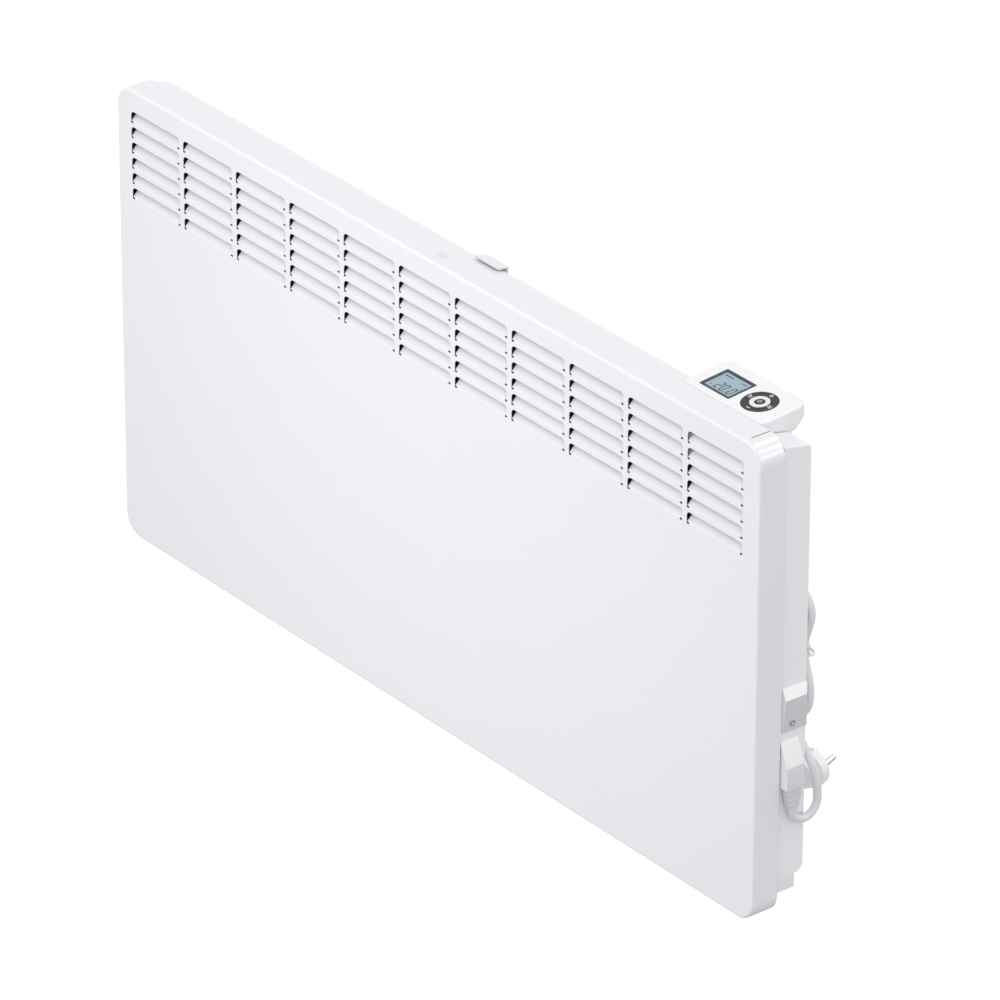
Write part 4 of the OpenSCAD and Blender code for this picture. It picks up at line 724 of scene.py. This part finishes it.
class HEATER_OT_cord(bpy.types.Operator):
    """Adds the mains cord in one piece, the moulded plug on it and the wire tie round it"""
    bl_idname = "heater.cord"
    bl_label = "Cord, plug and tie"

    def execute(self, context):
        said = context.scene.heater_cord
        exit_point = place(*CORD_EXIT) / MM
        mains = exit_point + np.array(MAINS_STEPS, float)
        hank, middle = hank_line(mains[-1])
        last = hank[-1] + np.array(PLUG_STEPS, float)
        line = np.vstack([spline(mains, CORD_PER_STEP), hank[1:],
                          spline(last, CORD_PER_STEP)[1:]])
        path = even(line, said.step / MM) * MM
        points, faces = tube(path, CORD_D / 2 * MM, said.sides)
        cord = add_mesh("mains_lead", points, faces, "cord_grey", "heater",
                        ["mains_cord", "cord_hank", "plug_cord"])

        plug = self.plug(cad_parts["plug_body"].data.copy())
        tie = self.tie(middle, said.tie_wire / MM)
        pins = softened("plug_pins", "heater", "nickel_plate", 0.5, 3)
        clips = softened("earth_clips", "heater", "nickel_plate", 0.25)
        return {"FINISHED"}

    def plug(self, mesh):
        """The moulded plug: the CAD shape with its edges melted together by a fine remesh."""
        merge(mesh, SAME_POINT)
        obj = add_piece("plug_moulding", mesh, "plug_vinyl", "heater", ["plug_body"])
        modify(obj, "REMESH", "moulding", mode="VOXEL", voxel_size=PLUG_VOXEL * MM)
        modify(obj, "SMOOTH", "soft edges", factor=PLUG_SMOOTH, iterations=PLUG_ROUNDS)
        settle(obj)
        return obj

    def tie(self, middle, wire):
        """A wire tie: two turns round the waist, then the ends twisted into a small loop.

        The turns are a rounded rectangle, whose sine and cosine are raised to a power below
        one. The twist is a helix that falls outwards, and the loop is an ellipse.
        """
        half_x = HANK_R0 - HANK_WAIST + (CORD_D + wire) / 2
        half_y = (HANK_LAYER + CORD_D + wire) / 2
        a = np.linspace(0, 4 * np.pi, 161)
        x = half_x * np.sign(np.cos(a)) * np.abs(np.cos(a)) ** TIE_SQUARE
        y = half_y * np.sign(np.sin(a)) * np.abs(np.sin(a)) ** TIE_SQUARE
        z = np.linspace(-TIE_SPREAD, TIE_SPREAD, len(a))
        k = np.linspace(0, 1, 61)[1:]
        wind = 0.55 * wire * np.array([np.cos(14 * k), np.sin(14 * k)])
        twist = np.stack([half_x + 0.4 + 3.0 * k + wind[0], -4.2 * k - 0.2,
                          TIE_SPREAD + 7.5 * k + wind[1]], -1)
        b = np.linspace(-0.5 * np.pi, 1.4 * np.pi, 40)[1:]
        loop = np.stack([1.2 * np.cos(b), 0.6 * np.cos(b), 2.6 * (1 + np.sin(b))], -1)
        line = np.vstack([np.stack([x, y, z], -1), twist, twist[-1] + loop]) + middle
        points, faces = tube(even(line, 0.5) * MM, wire / 2 * MM, 10)
        return add_mesh("wire_tie", points, faces, "tie_white", "heater", ["hank_tie"])


# ---------------------------------------------------------------- cover

def rounded_loop(w, h, r):
    """Points of a rounded rectangle and their outward normals, anticlockwise from the front.

    Each corner is an arc from just past its seam to the side, and each end of the upper and
    lower sides is a point just before the seam.
    """
    first = math.degrees(math.asin(SEAM / r))
    arc = np.radians(np.concatenate([[first], np.arange(CORNER_TURN, 90 + CORNER_TURN,
                                                        CORNER_TURN)]))
    points, normals = [], []
    for sx, sz, from_flat in ((1, 1, False), (-1, 1, True), (-1, -1, False), (1, -1, True)):
        a = arc if from_flat else arc[::-1]
        n = np.stack([sx * np.sin(a), sz * np.cos(a)], -1)
        corner = np.array([sx * (w / 2 - r), sz * (h / 2 - r)])
        flat = np.array([[sx * (w / 2 - r - SEAM), sz * h / 2]])
        up = np.array([[0.0, sz]])
        if from_flat:
            points += [flat, corner + r * n]
            normals += [up, n]
        else:
            points += [corner + r * n, flat]
            normals += [n, up]
    return np.vstack(points), np.vstack(normals)


def louvre_places():
    """The middle of each opening's lower edge, as x and height, in mm."""
    x = (np.arange(LOUVRE_COLUMNS) - (LOUVRE_COLUMNS - 1) / 2) * LOUVRE_STEP_X
    h = COVER_H - LOUVRE_TOP - LOUVRE_H - np.arange(LOUVRE_ROWS) * LOUVRE_STEP_Z
    return np.stack(np.meshgrid(x, h), -1).reshape(-1, 2)


def flap_columns():
    """Places along the hinge, evenly from one relief cut to the other."""
    root = LOUVRE_W / 2 - RELIEF_W
    return np.linspace(-root, root, FLAP_POINTS)


def opening_outline():
    """Outline of one opening: hinge, relief, side, rounded upper corners, relief."""
    w, top, r = LOUVRE_W / 2, LOUVRE_H, LOUVRE_R
    a = np.radians(np.arange(0, 91, 10))
    right = np.stack([w - r + r * np.cos(a), top - r + r * np.sin(a)], -1)
    hinge = np.stack([flap_columns(), np.zeros(FLAP_POINTS)], -1)
    root = w - RELIEF_W
    return np.vstack([hinge, [[root, -RELIEF_H], [w, -RELIEF_H]], right,
                      right[::-1] * [-1, 1], [[-w, -RELIEF_H], [-root, -RELIEF_H]]])


def flap(lean):
    """Grid of one flap, as x, depth and height from the hinge.

    The profile is an arc of the bend radius and then a straight line at the lean. Its half
    width is the hinge's below the relief, then the opening's less some play, and follows a
    quarter circle at the upper corners.
    """
    root, wide = LOUVRE_W / 2 - RELIEF_W, LOUVRE_W / 2 - FLAP_PLAY
    a = np.radians(np.arange(10, 91, 10))
    r = LOUVRE_R
    top = LOUVRE_H - FLAP_PLAY
    s = np.concatenate([[0, 0.2, 0.4, 0.6, RELIEF_H, RELIEF_H + 0.02, 3, top - r],
                        top - r + r * np.sin(a)])
    half = np.concatenate([[root] * 5, [wide] * 3, wide - r + r * np.cos(a)])
    bend = FLAP_BEND * lean
    turned = np.minimum(s, bend) / FLAP_BEND
    past = np.maximum(0, s - bend)
    d = FLAP_BEND * (1 - np.cos(turned)) + past * math.sin(lean)
    h = FLAP_BEND * np.sin(turned) + past * math.cos(lean)
    ends = half[:, None]
    x = np.hstack([-ends, np.clip(flap_columns(), -ends, ends), ends])
    return np.stack(np.broadcast_arrays(x, d[:, None], h[:, None]), -1)


class HEATER_OT_cover(bpy.types.Operator):
    """Adds the folded front cover with its pressed louvres"""
    bl_idname = "heater.cover"
    bl_label = "Front cover"

    def execute(self, context):
        said = context.scene.heater_cover

        # Folded edge: the outline drawn in by a quarter circle, then straight back. The slits
        # beside the two right-hand corners are left open behind the fold
        bend = said.bend / MM
        outer, normal = rounded_loop(COVER_W, COVER_H, said.corner / MM)
        a = np.radians(np.linspace(0, 90, 7))
        inset = np.concatenate([bend * (1 - np.sin(a)), np.zeros(2)])
        depth = np.concatenate([bend * (1 - np.cos(a)), [SEAM_FROM, FLANGE]])
        loops = outer[None] - inset[:, None, None] * normal[None]
        rings = place(loops[..., 0], depth[:, None], loops[..., 1] + COVER_H / 2)
        count = len(outer)
        quads = np.array(grid(len(depth), count, True)).reshape(len(depth) - 1, count, 4)
        after = np.roll(outer, -1, axis=0)
        narrow = (np.abs(outer[:, 0] - after[:, 0]) < 1) \
            & (np.minimum(np.abs(outer[:, 1]), np.abs(after[:, 1])) > COVER_H / 2 - 1) \
            & (outer[:, 0] > 0)
        faces = quads[:-1].reshape(-1, 4).tolist() + quads[-1][~narrow].tolist()
        points = [rings.reshape(-1, 3)]
        first = rings.shape[0] * count

        # Front plane with its openings, filled with flat triangles
        holes = opening_outline()[None] + louvre_places()[:, None]
        borders = [place(loops[0, :, 0], 0, loops[0, :, 1] + COVER_H / 2)]
        borders += list(place(holes[..., 0], 0, holes[..., 1]))
        points.append(np.vstack(borders))
        faces += filled(borders, first)
        first += sum(len(b) for b in borders)

        # One flap at each opening
        one = flap(said.lean)
        rows, cols = one.shape[:2]
        at = louvre_places()
        flaps = place(one[None, ..., 0] + at[:, None, None, 0], one[None, ..., 1],
                      one[None, ..., 2] + at[:, None, None, 1])
        points.append(flaps.reshape(-1, 3))
        step = np.arange(len(at))[:, None, None] * rows * cols
        faces += (np.array(grid(rows, cols))[None] + step + first).reshape(-1, 4).tolist()

        obj = add_mesh("cover_shell", np.vstack(points), faces, "white_powder_coat", "heater",
                       ["front_cover"])
        merge(obj.data)
        self.face_out(obj.data)

        # The sheet grows inwards; its inner side and its cut edges take a dark zinc, partly bare
        # zinc and partly painted shade that darkens the slits and the insides
        obj.data.materials.append(extra("zinc_and_painted_shade", ZINC_AND_PAINTED_SHADE))
        modify(obj, "SOLIDIFY", "sheet", thickness=said.sheet, offset=-1,
               material_offset=1, material_offset_rim=1)
        settle(obj, sharp=33)
        modify(obj, "WEIGHTED_NORMAL", "flat faces", keep_sharp=True)
        return {"FINISHED"}

    def face_out(self, mesh):
        """Turns the shell so that its large front faces look out of the front."""
        if (of_faces(mesh, "normal")[:, 1] * of_faces(mesh, "area", 1)[:, 0]).sum() > 0:
            mesh.flip_normals()


# ---------------------------------------------------------------- control unit

def plan_loop(w, front, rear, front_r, rear_r, between):
    """Points and normals of the control unit's plan, anticlockwise seen from above.

    The straight sides have points at the given depths, where the lower edge changes its way.
    """
    turn = np.radians(np.arange(0, 91, 7.5))
    side = np.asarray(between, float)
    points, normals = [], []
    for sx, sy, y, r, start in ((1, -1, front, front_r, -90), (1, 1, rear, rear_r, 0),
                                (-1, 1, rear, rear_r, 90), (-1, -1, front, front_r, 180)):
        a = turn + math.radians(start)
        n = np.stack([np.cos(a), np.sin(a)], -1)
        arc = np.array([sx * (w / 2 - r), y - sy * r]) + r * n
        if sx == sy:
            line = np.stack([np.full(len(side), sx * w / 2), side[::sx]], -1)
            arc, n = np.vstack([line, arc]), np.vstack([np.full_like(line, [sx, 0]), n])
        points.append(arc)
        normals.append(n)
    return np.vstack(points), np.vstack(normals)


def ring_outline(x, y, r, count=64):
    """A circle."""
    a = np.linspace(0, 2 * np.pi, count, endpoint=False)
    return np.stack([x + r * np.cos(a), y + r * np.sin(a)], -1)


def box_outline(x, y, w, l, r, turn=15):
    """A rectangle with round corners about a point."""
    a = np.radians(np.arange(0, 91, turn))
    parts = []
    for sx, sy, start in ((1, 1, 0), (-1, 1, 90), (-1, -1, 180), (1, -1, 270)):
        b = a + math.radians(start)
        parts.append(np.array([x + sx * (w / 2 - r), y + sy * (l / 2 - r)])
                     + r * np.stack([np.cos(b), np.sin(b)], -1))
    return np.vstack(parts)


def bar(x, y, w, h):
    """A rectangle about a point."""
    return [[x - w / 2, y - h / 2], [x + w / 2, y - h / 2], [x + w / 2, y + h / 2],
            [x - w / 2, y + h / 2]]


def stroke(line, width):
    """A line drawn with a width, as a four-sided outline between each two of its points."""
    p = np.stack(line, -1)
    d = np.gradient(p, axis=0)
    n = np.stack([-d[:, 1], d[:, 0]], -1) / np.linalg.norm(d, axis=1)[:, None] * width / 2
    up, down = p + n, p - n
    return list(np.stack([down[:-1], down[1:], up[1:], up[:-1]], 1))


class HEATER_OT_control(bpy.types.Operator):
    """Adds the moulded upper shell of the control unit and softens its lower shell"""
    bl_idname = "heater.control"
    bl_label = "Control unit"

    def execute(self, context):
        said = context.scene.heater_control
        edge = said.edge / MM

        # Walls: the plan raised from the lower edge, then drawn in by a quarter circle
        outer, normal = plan_loop(HEAD_W, HEAD_FRONT, HEAD_REAR, HEAD_FRONT_R, HEAD_REAR_R,
                                  HEAD_SIDES)
        y = outer[:, 1]
        low = np.interp(y, HEAD_FOOT_D, HEAD_FOOT_Z)
        a = np.radians(np.linspace(0, 90, 8))
        inset = np.concatenate([[0, 0, 0], edge * (1 - np.cos(a))])
        rise = -edge + edge * np.sin(a)
        height = np.vstack([low, low + HEAD_RIM, 0.5 * (low - edge)]
                           + [np.full(len(y), v) for v in rise])
        loops = outer[None] - inset[:, None, None] * normal[None]
        rings = np.concatenate([loops, height[..., None]], -1)
        count = len(outer)
        faces = grid(len(height), count, True)

        # Top with the openings for the display and the ring of keys
        borders = [rings[-1, :, :2],
                   box_outline(DISPLAY_X, FACE_MIDDLE, DISPLAY_W + DISPLAY_PLAY,
                               DISPLAY_L + DISPLAY_PLAY, DISPLAY_CORNER_R),
                   ring_outline(RING_X, FACE_MIDDLE, RING_R + RING_PLAY)]
        borders = [np.column_stack([b, np.zeros(len(b))]) for b in borders]
        points = np.vstack([rings.reshape(-1, 3), *borders])
        faces += filled(borders, len(height) * count)

        # Sloping underside behind the neck
        faces.append(np.where(y >= HEAD_FOOT_D[1])[0].tolist())
        obj = add_mesh("control_head_shell", on_face(points), faces, "white_plastic", "heater",
                       ["control_head"])
        merge(obj.data, 1e-6)
        self.face_up(obj.data)
        # The faces of the sloping underside get a greyer copy of the moulding: painted shade
        second_material(obj, extra("head_underside_painted_shade", HEAD_UNDER_SHADE_GREY),
                        of_faces(obj.data, "normal")[:, 2] < UNDER_MOST)
        modify(obj, "SOLIDIFY", "wall", thickness=said.wall, offset=-1, use_even_offset=True)
        settle(obj, sharp=33)
        modify(obj, "BEVEL", "moulded edges", width=0.25 * MM, segments=2,
               limit_method="ANGLE", angle_limit=math.radians(40))
        modify(obj, "WEIGHTED_NORMAL", "flat faces")
        softened("control_base", "heater", "white_plastic", 0.8, 3)
        softened("control_screws", "heater", "bright_steel", 0.2)
        return {"FINISHED"}

    def face_up(self, mesh):
        """Turns the shell so that its top, which is what lies above a height, looks up."""
        high = of_faces(mesh, "center")[:, 2] > HEAD_TOP_LEAST
        if (of_faces(mesh, "normal")[:, 2] * of_faces(mesh, "area", 1)[:, 0] * high).sum() < 0:
            mesh.flip_normals()


class HEATER_OT_display(bpy.types.Operator):
    """Adds the display: its dark frame, the pale window and the figures behind it"""
    bl_idname = "heater.display"
    bl_label = "Display"

    def execute(self, context):
        softened("display_frame", "heater", "display_bezel", 0.35, 3)
        softened("display_window", "heater", "display_glass", 0.2)
        shapes = self.figures("20.0", DISPLAY_X + FIGURES_X, FACE_MIDDLE + FIGURES_Y)
        shapes += [box_outline(DISPLAY_X + x, FACE_MIDDLE + y, w, h, r, 45)
                   for x, y, w, h, r in DISPLAY_MARKS]
        shapes += [ring_outline(DISPLAY_X + x, FACE_MIDDLE + y, r, 16)
                   for x, y, r in DISPLAY_DOTS]
        plates("display_figures", shapes, INK_LOW, INK_HIGH, LCD_INK, "heater",
               "display_bezel")
        return {"FINISHED"}

    def figures(self, text, x, y):
        """Slanted seven-segment figures about a middle, as outlines of their lit bars.

        The bars a, g and d lie across at the top, the middle and the foot; b and c stand on
        the right, f and e on the left. The slant moves each point by a share of its height.
        """
        w, h, t, space = FIGURE_W, FIGURE_H, FIGURE_BAR, FIGURE_GAP
        lit = {"2": "abged", "0": "abcdef"}
        width = sum(w if c != "." else t for c in text) + space * (len(text) - 1)
        left = x - width / 2
        out = []
        for c in text:
            if c == ".":
                out.append(box_outline(left + t / 2, y - h / 2 + t / 2, t, t, 0.2, 45))
                left += t + space
                continue
            mid = left + w / 2
            across = {"a": h / 2 - t / 2, "g": 0, "d": -h / 2 + t / 2}
            upright = {"b": (1, 1), "c": (1, -1), "e": (-1, -1), "f": (-1, 1)}
            arm = w / 2 - t * 0.55
            for key in lit[c]:
                if key in across:
                    v = y + across[key]
                    out.append([[mid - arm, v], [mid - arm + t / 2, v - t / 2],
                                [mid + arm - t / 2, v - t / 2], [mid + arm, v],
                                [mid + arm - t / 2, v + t / 2], [mid - arm + t / 2, v + t / 2]])
                else:
                    sx, sy = upright[key]
                    u = mid + sx * (w / 2 - t / 2)
                    lo, hi = sorted((y + sy * t * 0.05, y + sy * (h / 2 - t * 0.55)))
                    out.append([[u, lo], [u + t / 2, lo + t / 2], [u + t / 2, hi - t / 2],
                                [u, hi], [u - t / 2, hi - t / 2], [u - t / 2, lo + t / 2]])
            left += w + space
        return [[[u + FIGURE_SLANT * (v - y), v] for u, v in shape] for shape in out]


class HEATER_OT_keys(bpy.types.Operator):
    """Adds the ring of four keys, the power key, the pale disc between them and their marks"""
    bl_idname = "heater.keys"
    bl_label = "Keys"

    def execute(self, context):
        softened("key_island", "heater", "island_white", 0.4, 3)
        softened("display_board", "heater", "board_green", 0.15)
        softened("key_switches", "heater", "switch_plastic", 0.15)
        for name, angle in (("right", 0), ("rear", 90), ("left", 180), ("front", 270)):
            self.quarter(name, angle)
        self.power()
        self.marks()
        return {"FINISHED"}

    def quarter(self, name, angle):
        """A quarter of the ring: one cross-section swept round, with a dished top.

        The section runs up the outside, over a rounded edge, across a shallow dish and down
        the inside, with a lip at the foot that stops under the shell.
        """
        inner, outer, r, top = RING_BORE_R, RING_R, RING_EDGE, KEY_PROUD
        foot, ledge = KEY_FOOT, KEY_FOOT + KEY_LIP_T
        a = np.radians(np.linspace(0, 90, 5))
        k = np.linspace(0, 1, 7)[1:-1]
        rho = np.concatenate([[inner, outer + KEY_LIP, outer + KEY_LIP, outer],
                              outer - r + r * np.cos(a),
                              outer - r - (outer - inner - 2 * r) * k,
                              inner + r - r * np.sin(a), [inner]])
        z = np.concatenate([[foot, foot, ledge, ledge], top - r + r * np.sin(a),
                            top - RING_DISH * np.sin(np.pi * k), top - r + r * np.cos(a), [foot]])
        spread = math.radians(45) - RING_GAP
        self.cap(name, rho, z, np.linspace(-spread, spread, 25) + math.radians(angle), True)

    def power(self):
        """The round power key: a section turned about its axis, slightly domed."""
        r, e, top = POWER_R, POWER_EDGE, KEY_PROUD
        foot, ledge = KEY_FOOT, KEY_FOOT + KEY_LIP_T
        a = np.radians(np.linspace(0, 90, 5))
        k = np.linspace(0, 1, 6)[1:]
        rho = np.concatenate([[0, r + KEY_LIP, r + KEY_LIP, r], r - e + e * np.cos(a),
                              (r - e) * (1 - k)])
        z = np.concatenate([[foot, foot, ledge, ledge], top - e + e * np.sin(a),
                            top + POWER_DOME * np.sin(np.pi / 2 * k)])
        self.cap("power", rho, z, np.linspace(0, 2 * np.pi, 49), False)

    def cap(self, name, rho, z, turn, ends):
        """Adds one key: its section of radii and heights turned about the ring's middle."""
        x = RING_X + rho[None] * np.cos(turn)[:, None]
        y = FACE_MIDDLE + rho[None] * np.sin(turn)[:, None]
        points = np.stack([x, y, np.broadcast_to(z, x.shape)], -1)
        rows, cols = x.shape
        faces = grid(rows, cols)
        if ends:
            faces += [list(range(cols)), list(range((rows - 1) * cols, rows * cols))[::-1]]
        obj = add_mesh(f"key_{name}_cap", on_face(points), faces, "key_dark", f"key_{name}",
                       [f"key_{name}"])
        merge(obj.data, 1e-6)
        obj.data.set_sharp_from_angle(angle=math.radians(40))

    def marks(self):
        """White marks printed on the keys: plus, minus, return, waves and power."""
        cx, cy, middle = RING_X, FACE_MIDDLE, (RING_R + RING_BORE_R) / 2
        plus = [bar(cx, cy + middle, PLUS_L, PLUS_LINE), bar(cx, cy + middle, PLUS_LINE, PLUS_L)]
        minus = [bar(cx, cy - middle, PLUS_L, PLUS_LINE)]

        # Three waves, each one turn of a sine
        k = np.linspace(0, 1, 13)
        waves = []
        for row in (-1, 0, 1):
            wave = cy + row * WAVE_STEP + WAVE_UP * np.sin(2 * np.pi * k)
            waves += stroke([cx + middle + WAVE_L * (k - 0.5), wave], WAVE_LINE)

        # Return arrow: a half circle, its two ends and the head
        left, r = cx - middle, ARROW_R
        a = np.radians(np.linspace(-90, 90, 11))
        back = stroke([left + 0.6 + r * np.cos(a), cy + r * np.sin(a)], ARROW_LINE)
        back += [bar(left - 0.4, cy - r, 2.0, ARROW_LINE),
                 [[left - 2.4, cy + r], [left - 0.2, cy + 0.2], [left - 0.2, cy + 2.4]],
                 bar(left + 0.2, cy + r, 0.9, ARROW_LINE)]

        # Power sign: an open circle and an upright bar in its gap
        a = np.radians(np.linspace(125, 415, 25))
        power = stroke([cx + SIGN_R * np.cos(a), cy + SIGN_R * np.sin(a)], SIGN_LINE)
        power += [bar(cx, cy + 1.3, SIGN_LINE, SIGN_BAR)]
        for name, shapes, rise in (("rear", plus, 0), ("front", minus, 0), ("right", waves, 0),
                                   ("left", back, 0), ("power", power, MARK_RISE)):
            top = KEY_PROUD + rise
            plates(f"key_{name}_mark", shapes, top + MARK_LOW, top + MARK_HIGH, LEGEND_WHITE,
                   f"key_{name}", "key_dark")


# ---------------------------------------------------------------- everything else

class HEATER_OT_casing(bpy.types.Operator):
    """Adds the rear casing, the base grille and the cable outlet with rounded edges"""
    bl_idname = "heater.casing"
    bl_label = "Casing and outlet"

    def execute(self, context):
        # The casing's outside takes a lighter copy of the powder coat, painted light; the faces
        # that look to its middle take a dark zinc, partly bare zinc and partly painted shade
        casing = softened("rear_casing", "heater", "white_powder_coat", 0.45)
        # A lighter copy of the coat paints light on the casing
        casing.data.materials[0] = extra("casing_coat_painted_light", CASING_PAINTED_LIGHT)
        middle = place(0, CASING_MIDDLE, COVER_H / 2)
        away = of_faces(casing.data, "center") - middle
        second_material(casing, extra("zinc_and_painted_shade", ZINC_AND_PAINTED_SHADE),
                        (of_faces(casing.data, "normal") * away).sum(1) < 0)
        softened("base_grille", "heater", "white_powder_coat", 0.4)
        softened("cover_brackets", "heater", "zinc_plate", 0.25)
        softened("cover_screws", "heater", "painted_screw", 0.3)
        # The cable box and the outlet get painted shade on their faces that look straight out of
        # the side
        box = softened("cable_box", "heater", "outlet_grey", 1.0, 3)
        self.paint_side_shade(box, extra("box_side_painted_shade", SIDE_SHADE_AND_RELIEF_GREY))
        softened("cable_screws", "heater", "bright_steel", 0.2)
        outlet = softened("outlet_cover", "heater", "outlet_grey", 0.9, 3)
        self.paint_side_shade(outlet, extra("outlet_side_painted_shade", OUTLET_SIDE_SHADE_GREY))
        self.relief()
        return {"FINISHED"}

    def paint_side_shade(self, obj, material):
        """Paints shade on the faces that look straight out of the side: a greyer material on them.
        """
        second_material(obj, material, of_faces(obj.data, "normal")[:, 0] > OUTWARD_LEAST)

    def relief(self):
        """The cord's strain relief: rounded squares that taper, with grooves between ribs.

        The grooves follow a cosine that fades out at the top and the foot. The sides are a
        circle whose cosine and sine are taken to the power of a half.
        """
        lo, hi = (np.array(c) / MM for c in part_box("strain_relief"))
        n, sides = SLEEVE_ROWS, SLEEVE_SIDES
        k = np.linspace(0, 1, n)
        z = hi[2] + (lo[2] - hi[2]) * k
        ridge = 0.5 - 0.5 * np.cos(2 * np.pi * RIBS * k)
        ribbed = np.clip((k - 0.12) / 0.08, 0, 1) * np.clip((0.97 - k) / 0.05, 0, 1)
        cut = 1 - RIB_CUT * ridge * ribbed
        half_x = (hi[0] - lo[0]) / 2 * cut
        half_y = (SLEEVE_HALF - SLEEVE_TAPER * np.clip((k - 0.3) / 0.7, 0, 1)) * cut
        a = np.linspace(0, 2 * np.pi, sides, endpoint=False)
        c, s = np.cos(a), np.sin(a)
        x = (lo[0] + hi[0]) / 2 + half_x[:, None] * np.sign(c) * np.abs(c) ** 0.5
        y = (lo[1] + hi[1]) / 2 + half_y[:, None] * np.sign(s) * np.abs(s) ** 0.5
        rings = np.stack([x, y, np.broadcast_to(z[:, None], x.shape)], -1) * MM
        faces = grid(n, sides, True)
        faces += [list(range(sides)), list(range((n - 1) * sides, n * sides))[::-1]]
        obj = add_mesh("cord_relief", rings.reshape(-1, 3), faces, "outlet_grey", "heater",
                       ["strain_relief"])
        obj.data.materials[0] = extra("relief_moulding", SIDE_SHADE_AND_RELIEF_GREY)
        merge(obj.data, 1e-7)
        obj.data.set_sharp_from_angle(angle=math.radians(50))


class HEATER_OT_bracket(bpy.types.Operator):
    """Adds the wall bracket, the latch and the tilt hinge with rounded edges"""
    bl_idname = "heater.bracket"
    bl_label = "Wall bracket"

    def execute(self, context):
        softened("wall_bracket", "bracket", "zinc_plate", 0.4)
        softened("bracket_pads", "bracket", "rubber_pad", 0.6)
        softened("latch", "latch", "latch_plate", 0.35)
        softened("latch_pad", "latch", "pale_pad", 0.4)
        softened("pivot_ears", "heater", "zinc_plate", 0.4)
        softened("pivot_pins", "heater", "bright_steel", 0.4)
        self.coil()
        return {"FINISHED"}

    def coil(self):
        """The latch's spring: a helix with a closer turn at each end."""
        lo, hi = (np.array(c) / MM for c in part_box("latch_spring"))
        turn = np.linspace(0, SPRING_TURNS, SPRING_TURNS * 24 + 1)
        span = hi[2] - lo[2] - SPRING_WIRE
        rise = np.interp(turn, [0, 1, SPRING_TURNS - 1, SPRING_TURNS],
                         [0, SPRING_END, span - SPRING_END, span])
        r = (hi[0] - lo[0] - SPRING_WIRE) / 2
        path = np.stack([(lo[0] + hi[0]) / 2 + r * np.cos(2 * np.pi * turn),
                         (lo[1] + hi[1]) / 2 + r * np.sin(2 * np.pi * turn),
                         lo[2] + SPRING_WIRE / 2 + rise], -1)
        points, faces = tube(path * MM, SPRING_WIRE / 2 * MM, 12)
        obj = add_mesh("latch_coil", points, faces, "spring_wire", "bracket", ["latch_spring"])
        obj.data.set_sharp_from_angle(angle=math.radians(50))
        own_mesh(obj)


def paint(node, slot):
    """Gives a CAD node its finish."""
    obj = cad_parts[node]
    obj.data.materials.clear()
    obj.data.materials.append(finish(slot))


class HEATER_OT_inside(bpy.types.Operator):
    """Finishes the heating element, the boards and the wiring inside the casing"""
    bl_idname = "heater.inside"
    bl_label = "Inside"

    def execute(self, context):
        for node, slot, width in (
                ("heat_baffle", "bare_aluminium", 0.25), ("element_wings", "bare_aluminium", 0.3),
                ("element_brackets", "zinc_plate", 0.3), ("element_bushes", "silicone", 0.5),
                ("thermal_cutout", "cutout_ceramic", 0.4), ("power_board", "board_green", 0.2),
                ("power_relay", "black_plastic", 0.5), ("terminal_block", "terminal_plastic", 0.4),
                ("earth_stud", "brass_stud", 0.4), ("room_sensor", "sensor_plastic", 0.5)):
            softened(node, "heater", slot, width)
        for node, slot in (
                ("element_sheath", "sheath_steel"), ("element_wires", "wire_red"),
                ("supply_leads", "wire_brown"), ("earth_wire", "wire_green"),
                ("sensor_wire", "wire_grey")):
            paint(node, slot)
        return {"FINISHED"}


# ---------------------------------------------------------------- panel and registration

STEPS = (HEATER_OT_camera, HEATER_OT_cord, HEATER_OT_cover, HEATER_OT_control,
         HEATER_OT_display, HEATER_OT_keys, HEATER_OT_casing, HEATER_OT_bracket,
         HEATER_OT_inside, HEATER_OT_stage)
GROUPS = {"heater_cord": CordSettings, "heater_cover": CoverSettings,
          "heater_control": ControlSettings, "heater_stage": StageSettings}


class HEATER_PT_panel(bpy.types.Panel):
    """Lists the heater's pieces and their settings"""
    bl_idname = "HEATER_PT_panel"
    bl_label = "Wall Panel Convector Heater"
    bl_space_type = "VIEW_3D"
    bl_region_type = "UI"
    bl_category = "Heater"

    def draw(self, context):
        for step in STEPS:
            self.layout.operator(step.bl_idname)
        for name, group in GROUPS.items():
            box = self.layout.box()
            for key in group.__annotations__:
                box.prop(getattr(context.scene, name), key)


def register():
    for one in (*GROUPS.values(), *STEPS, HEATER_PT_panel):
        bpy.utils.register_class(one)
    for name, group in GROUPS.items():
        setattr(bpy.types.Scene, name, bpy.props.PointerProperty(type=group))


def unregister():
    for name in GROUPS:
        delattr(bpy.types.Scene, name)
    for one in reversed((*GROUPS.values(), *STEPS, HEATER_PT_panel)):
        bpy.utils.unregister_class(one)


def main():
    register()
    for step in STEPS:
        group, name = step.bl_idname.split(".")
        if getattr(getattr(bpy.ops, group), name)() != {"FINISHED"}:
            raise RuntimeError(f"{step.bl_label} did not finish")


if __name__ == "__main__":
    main()
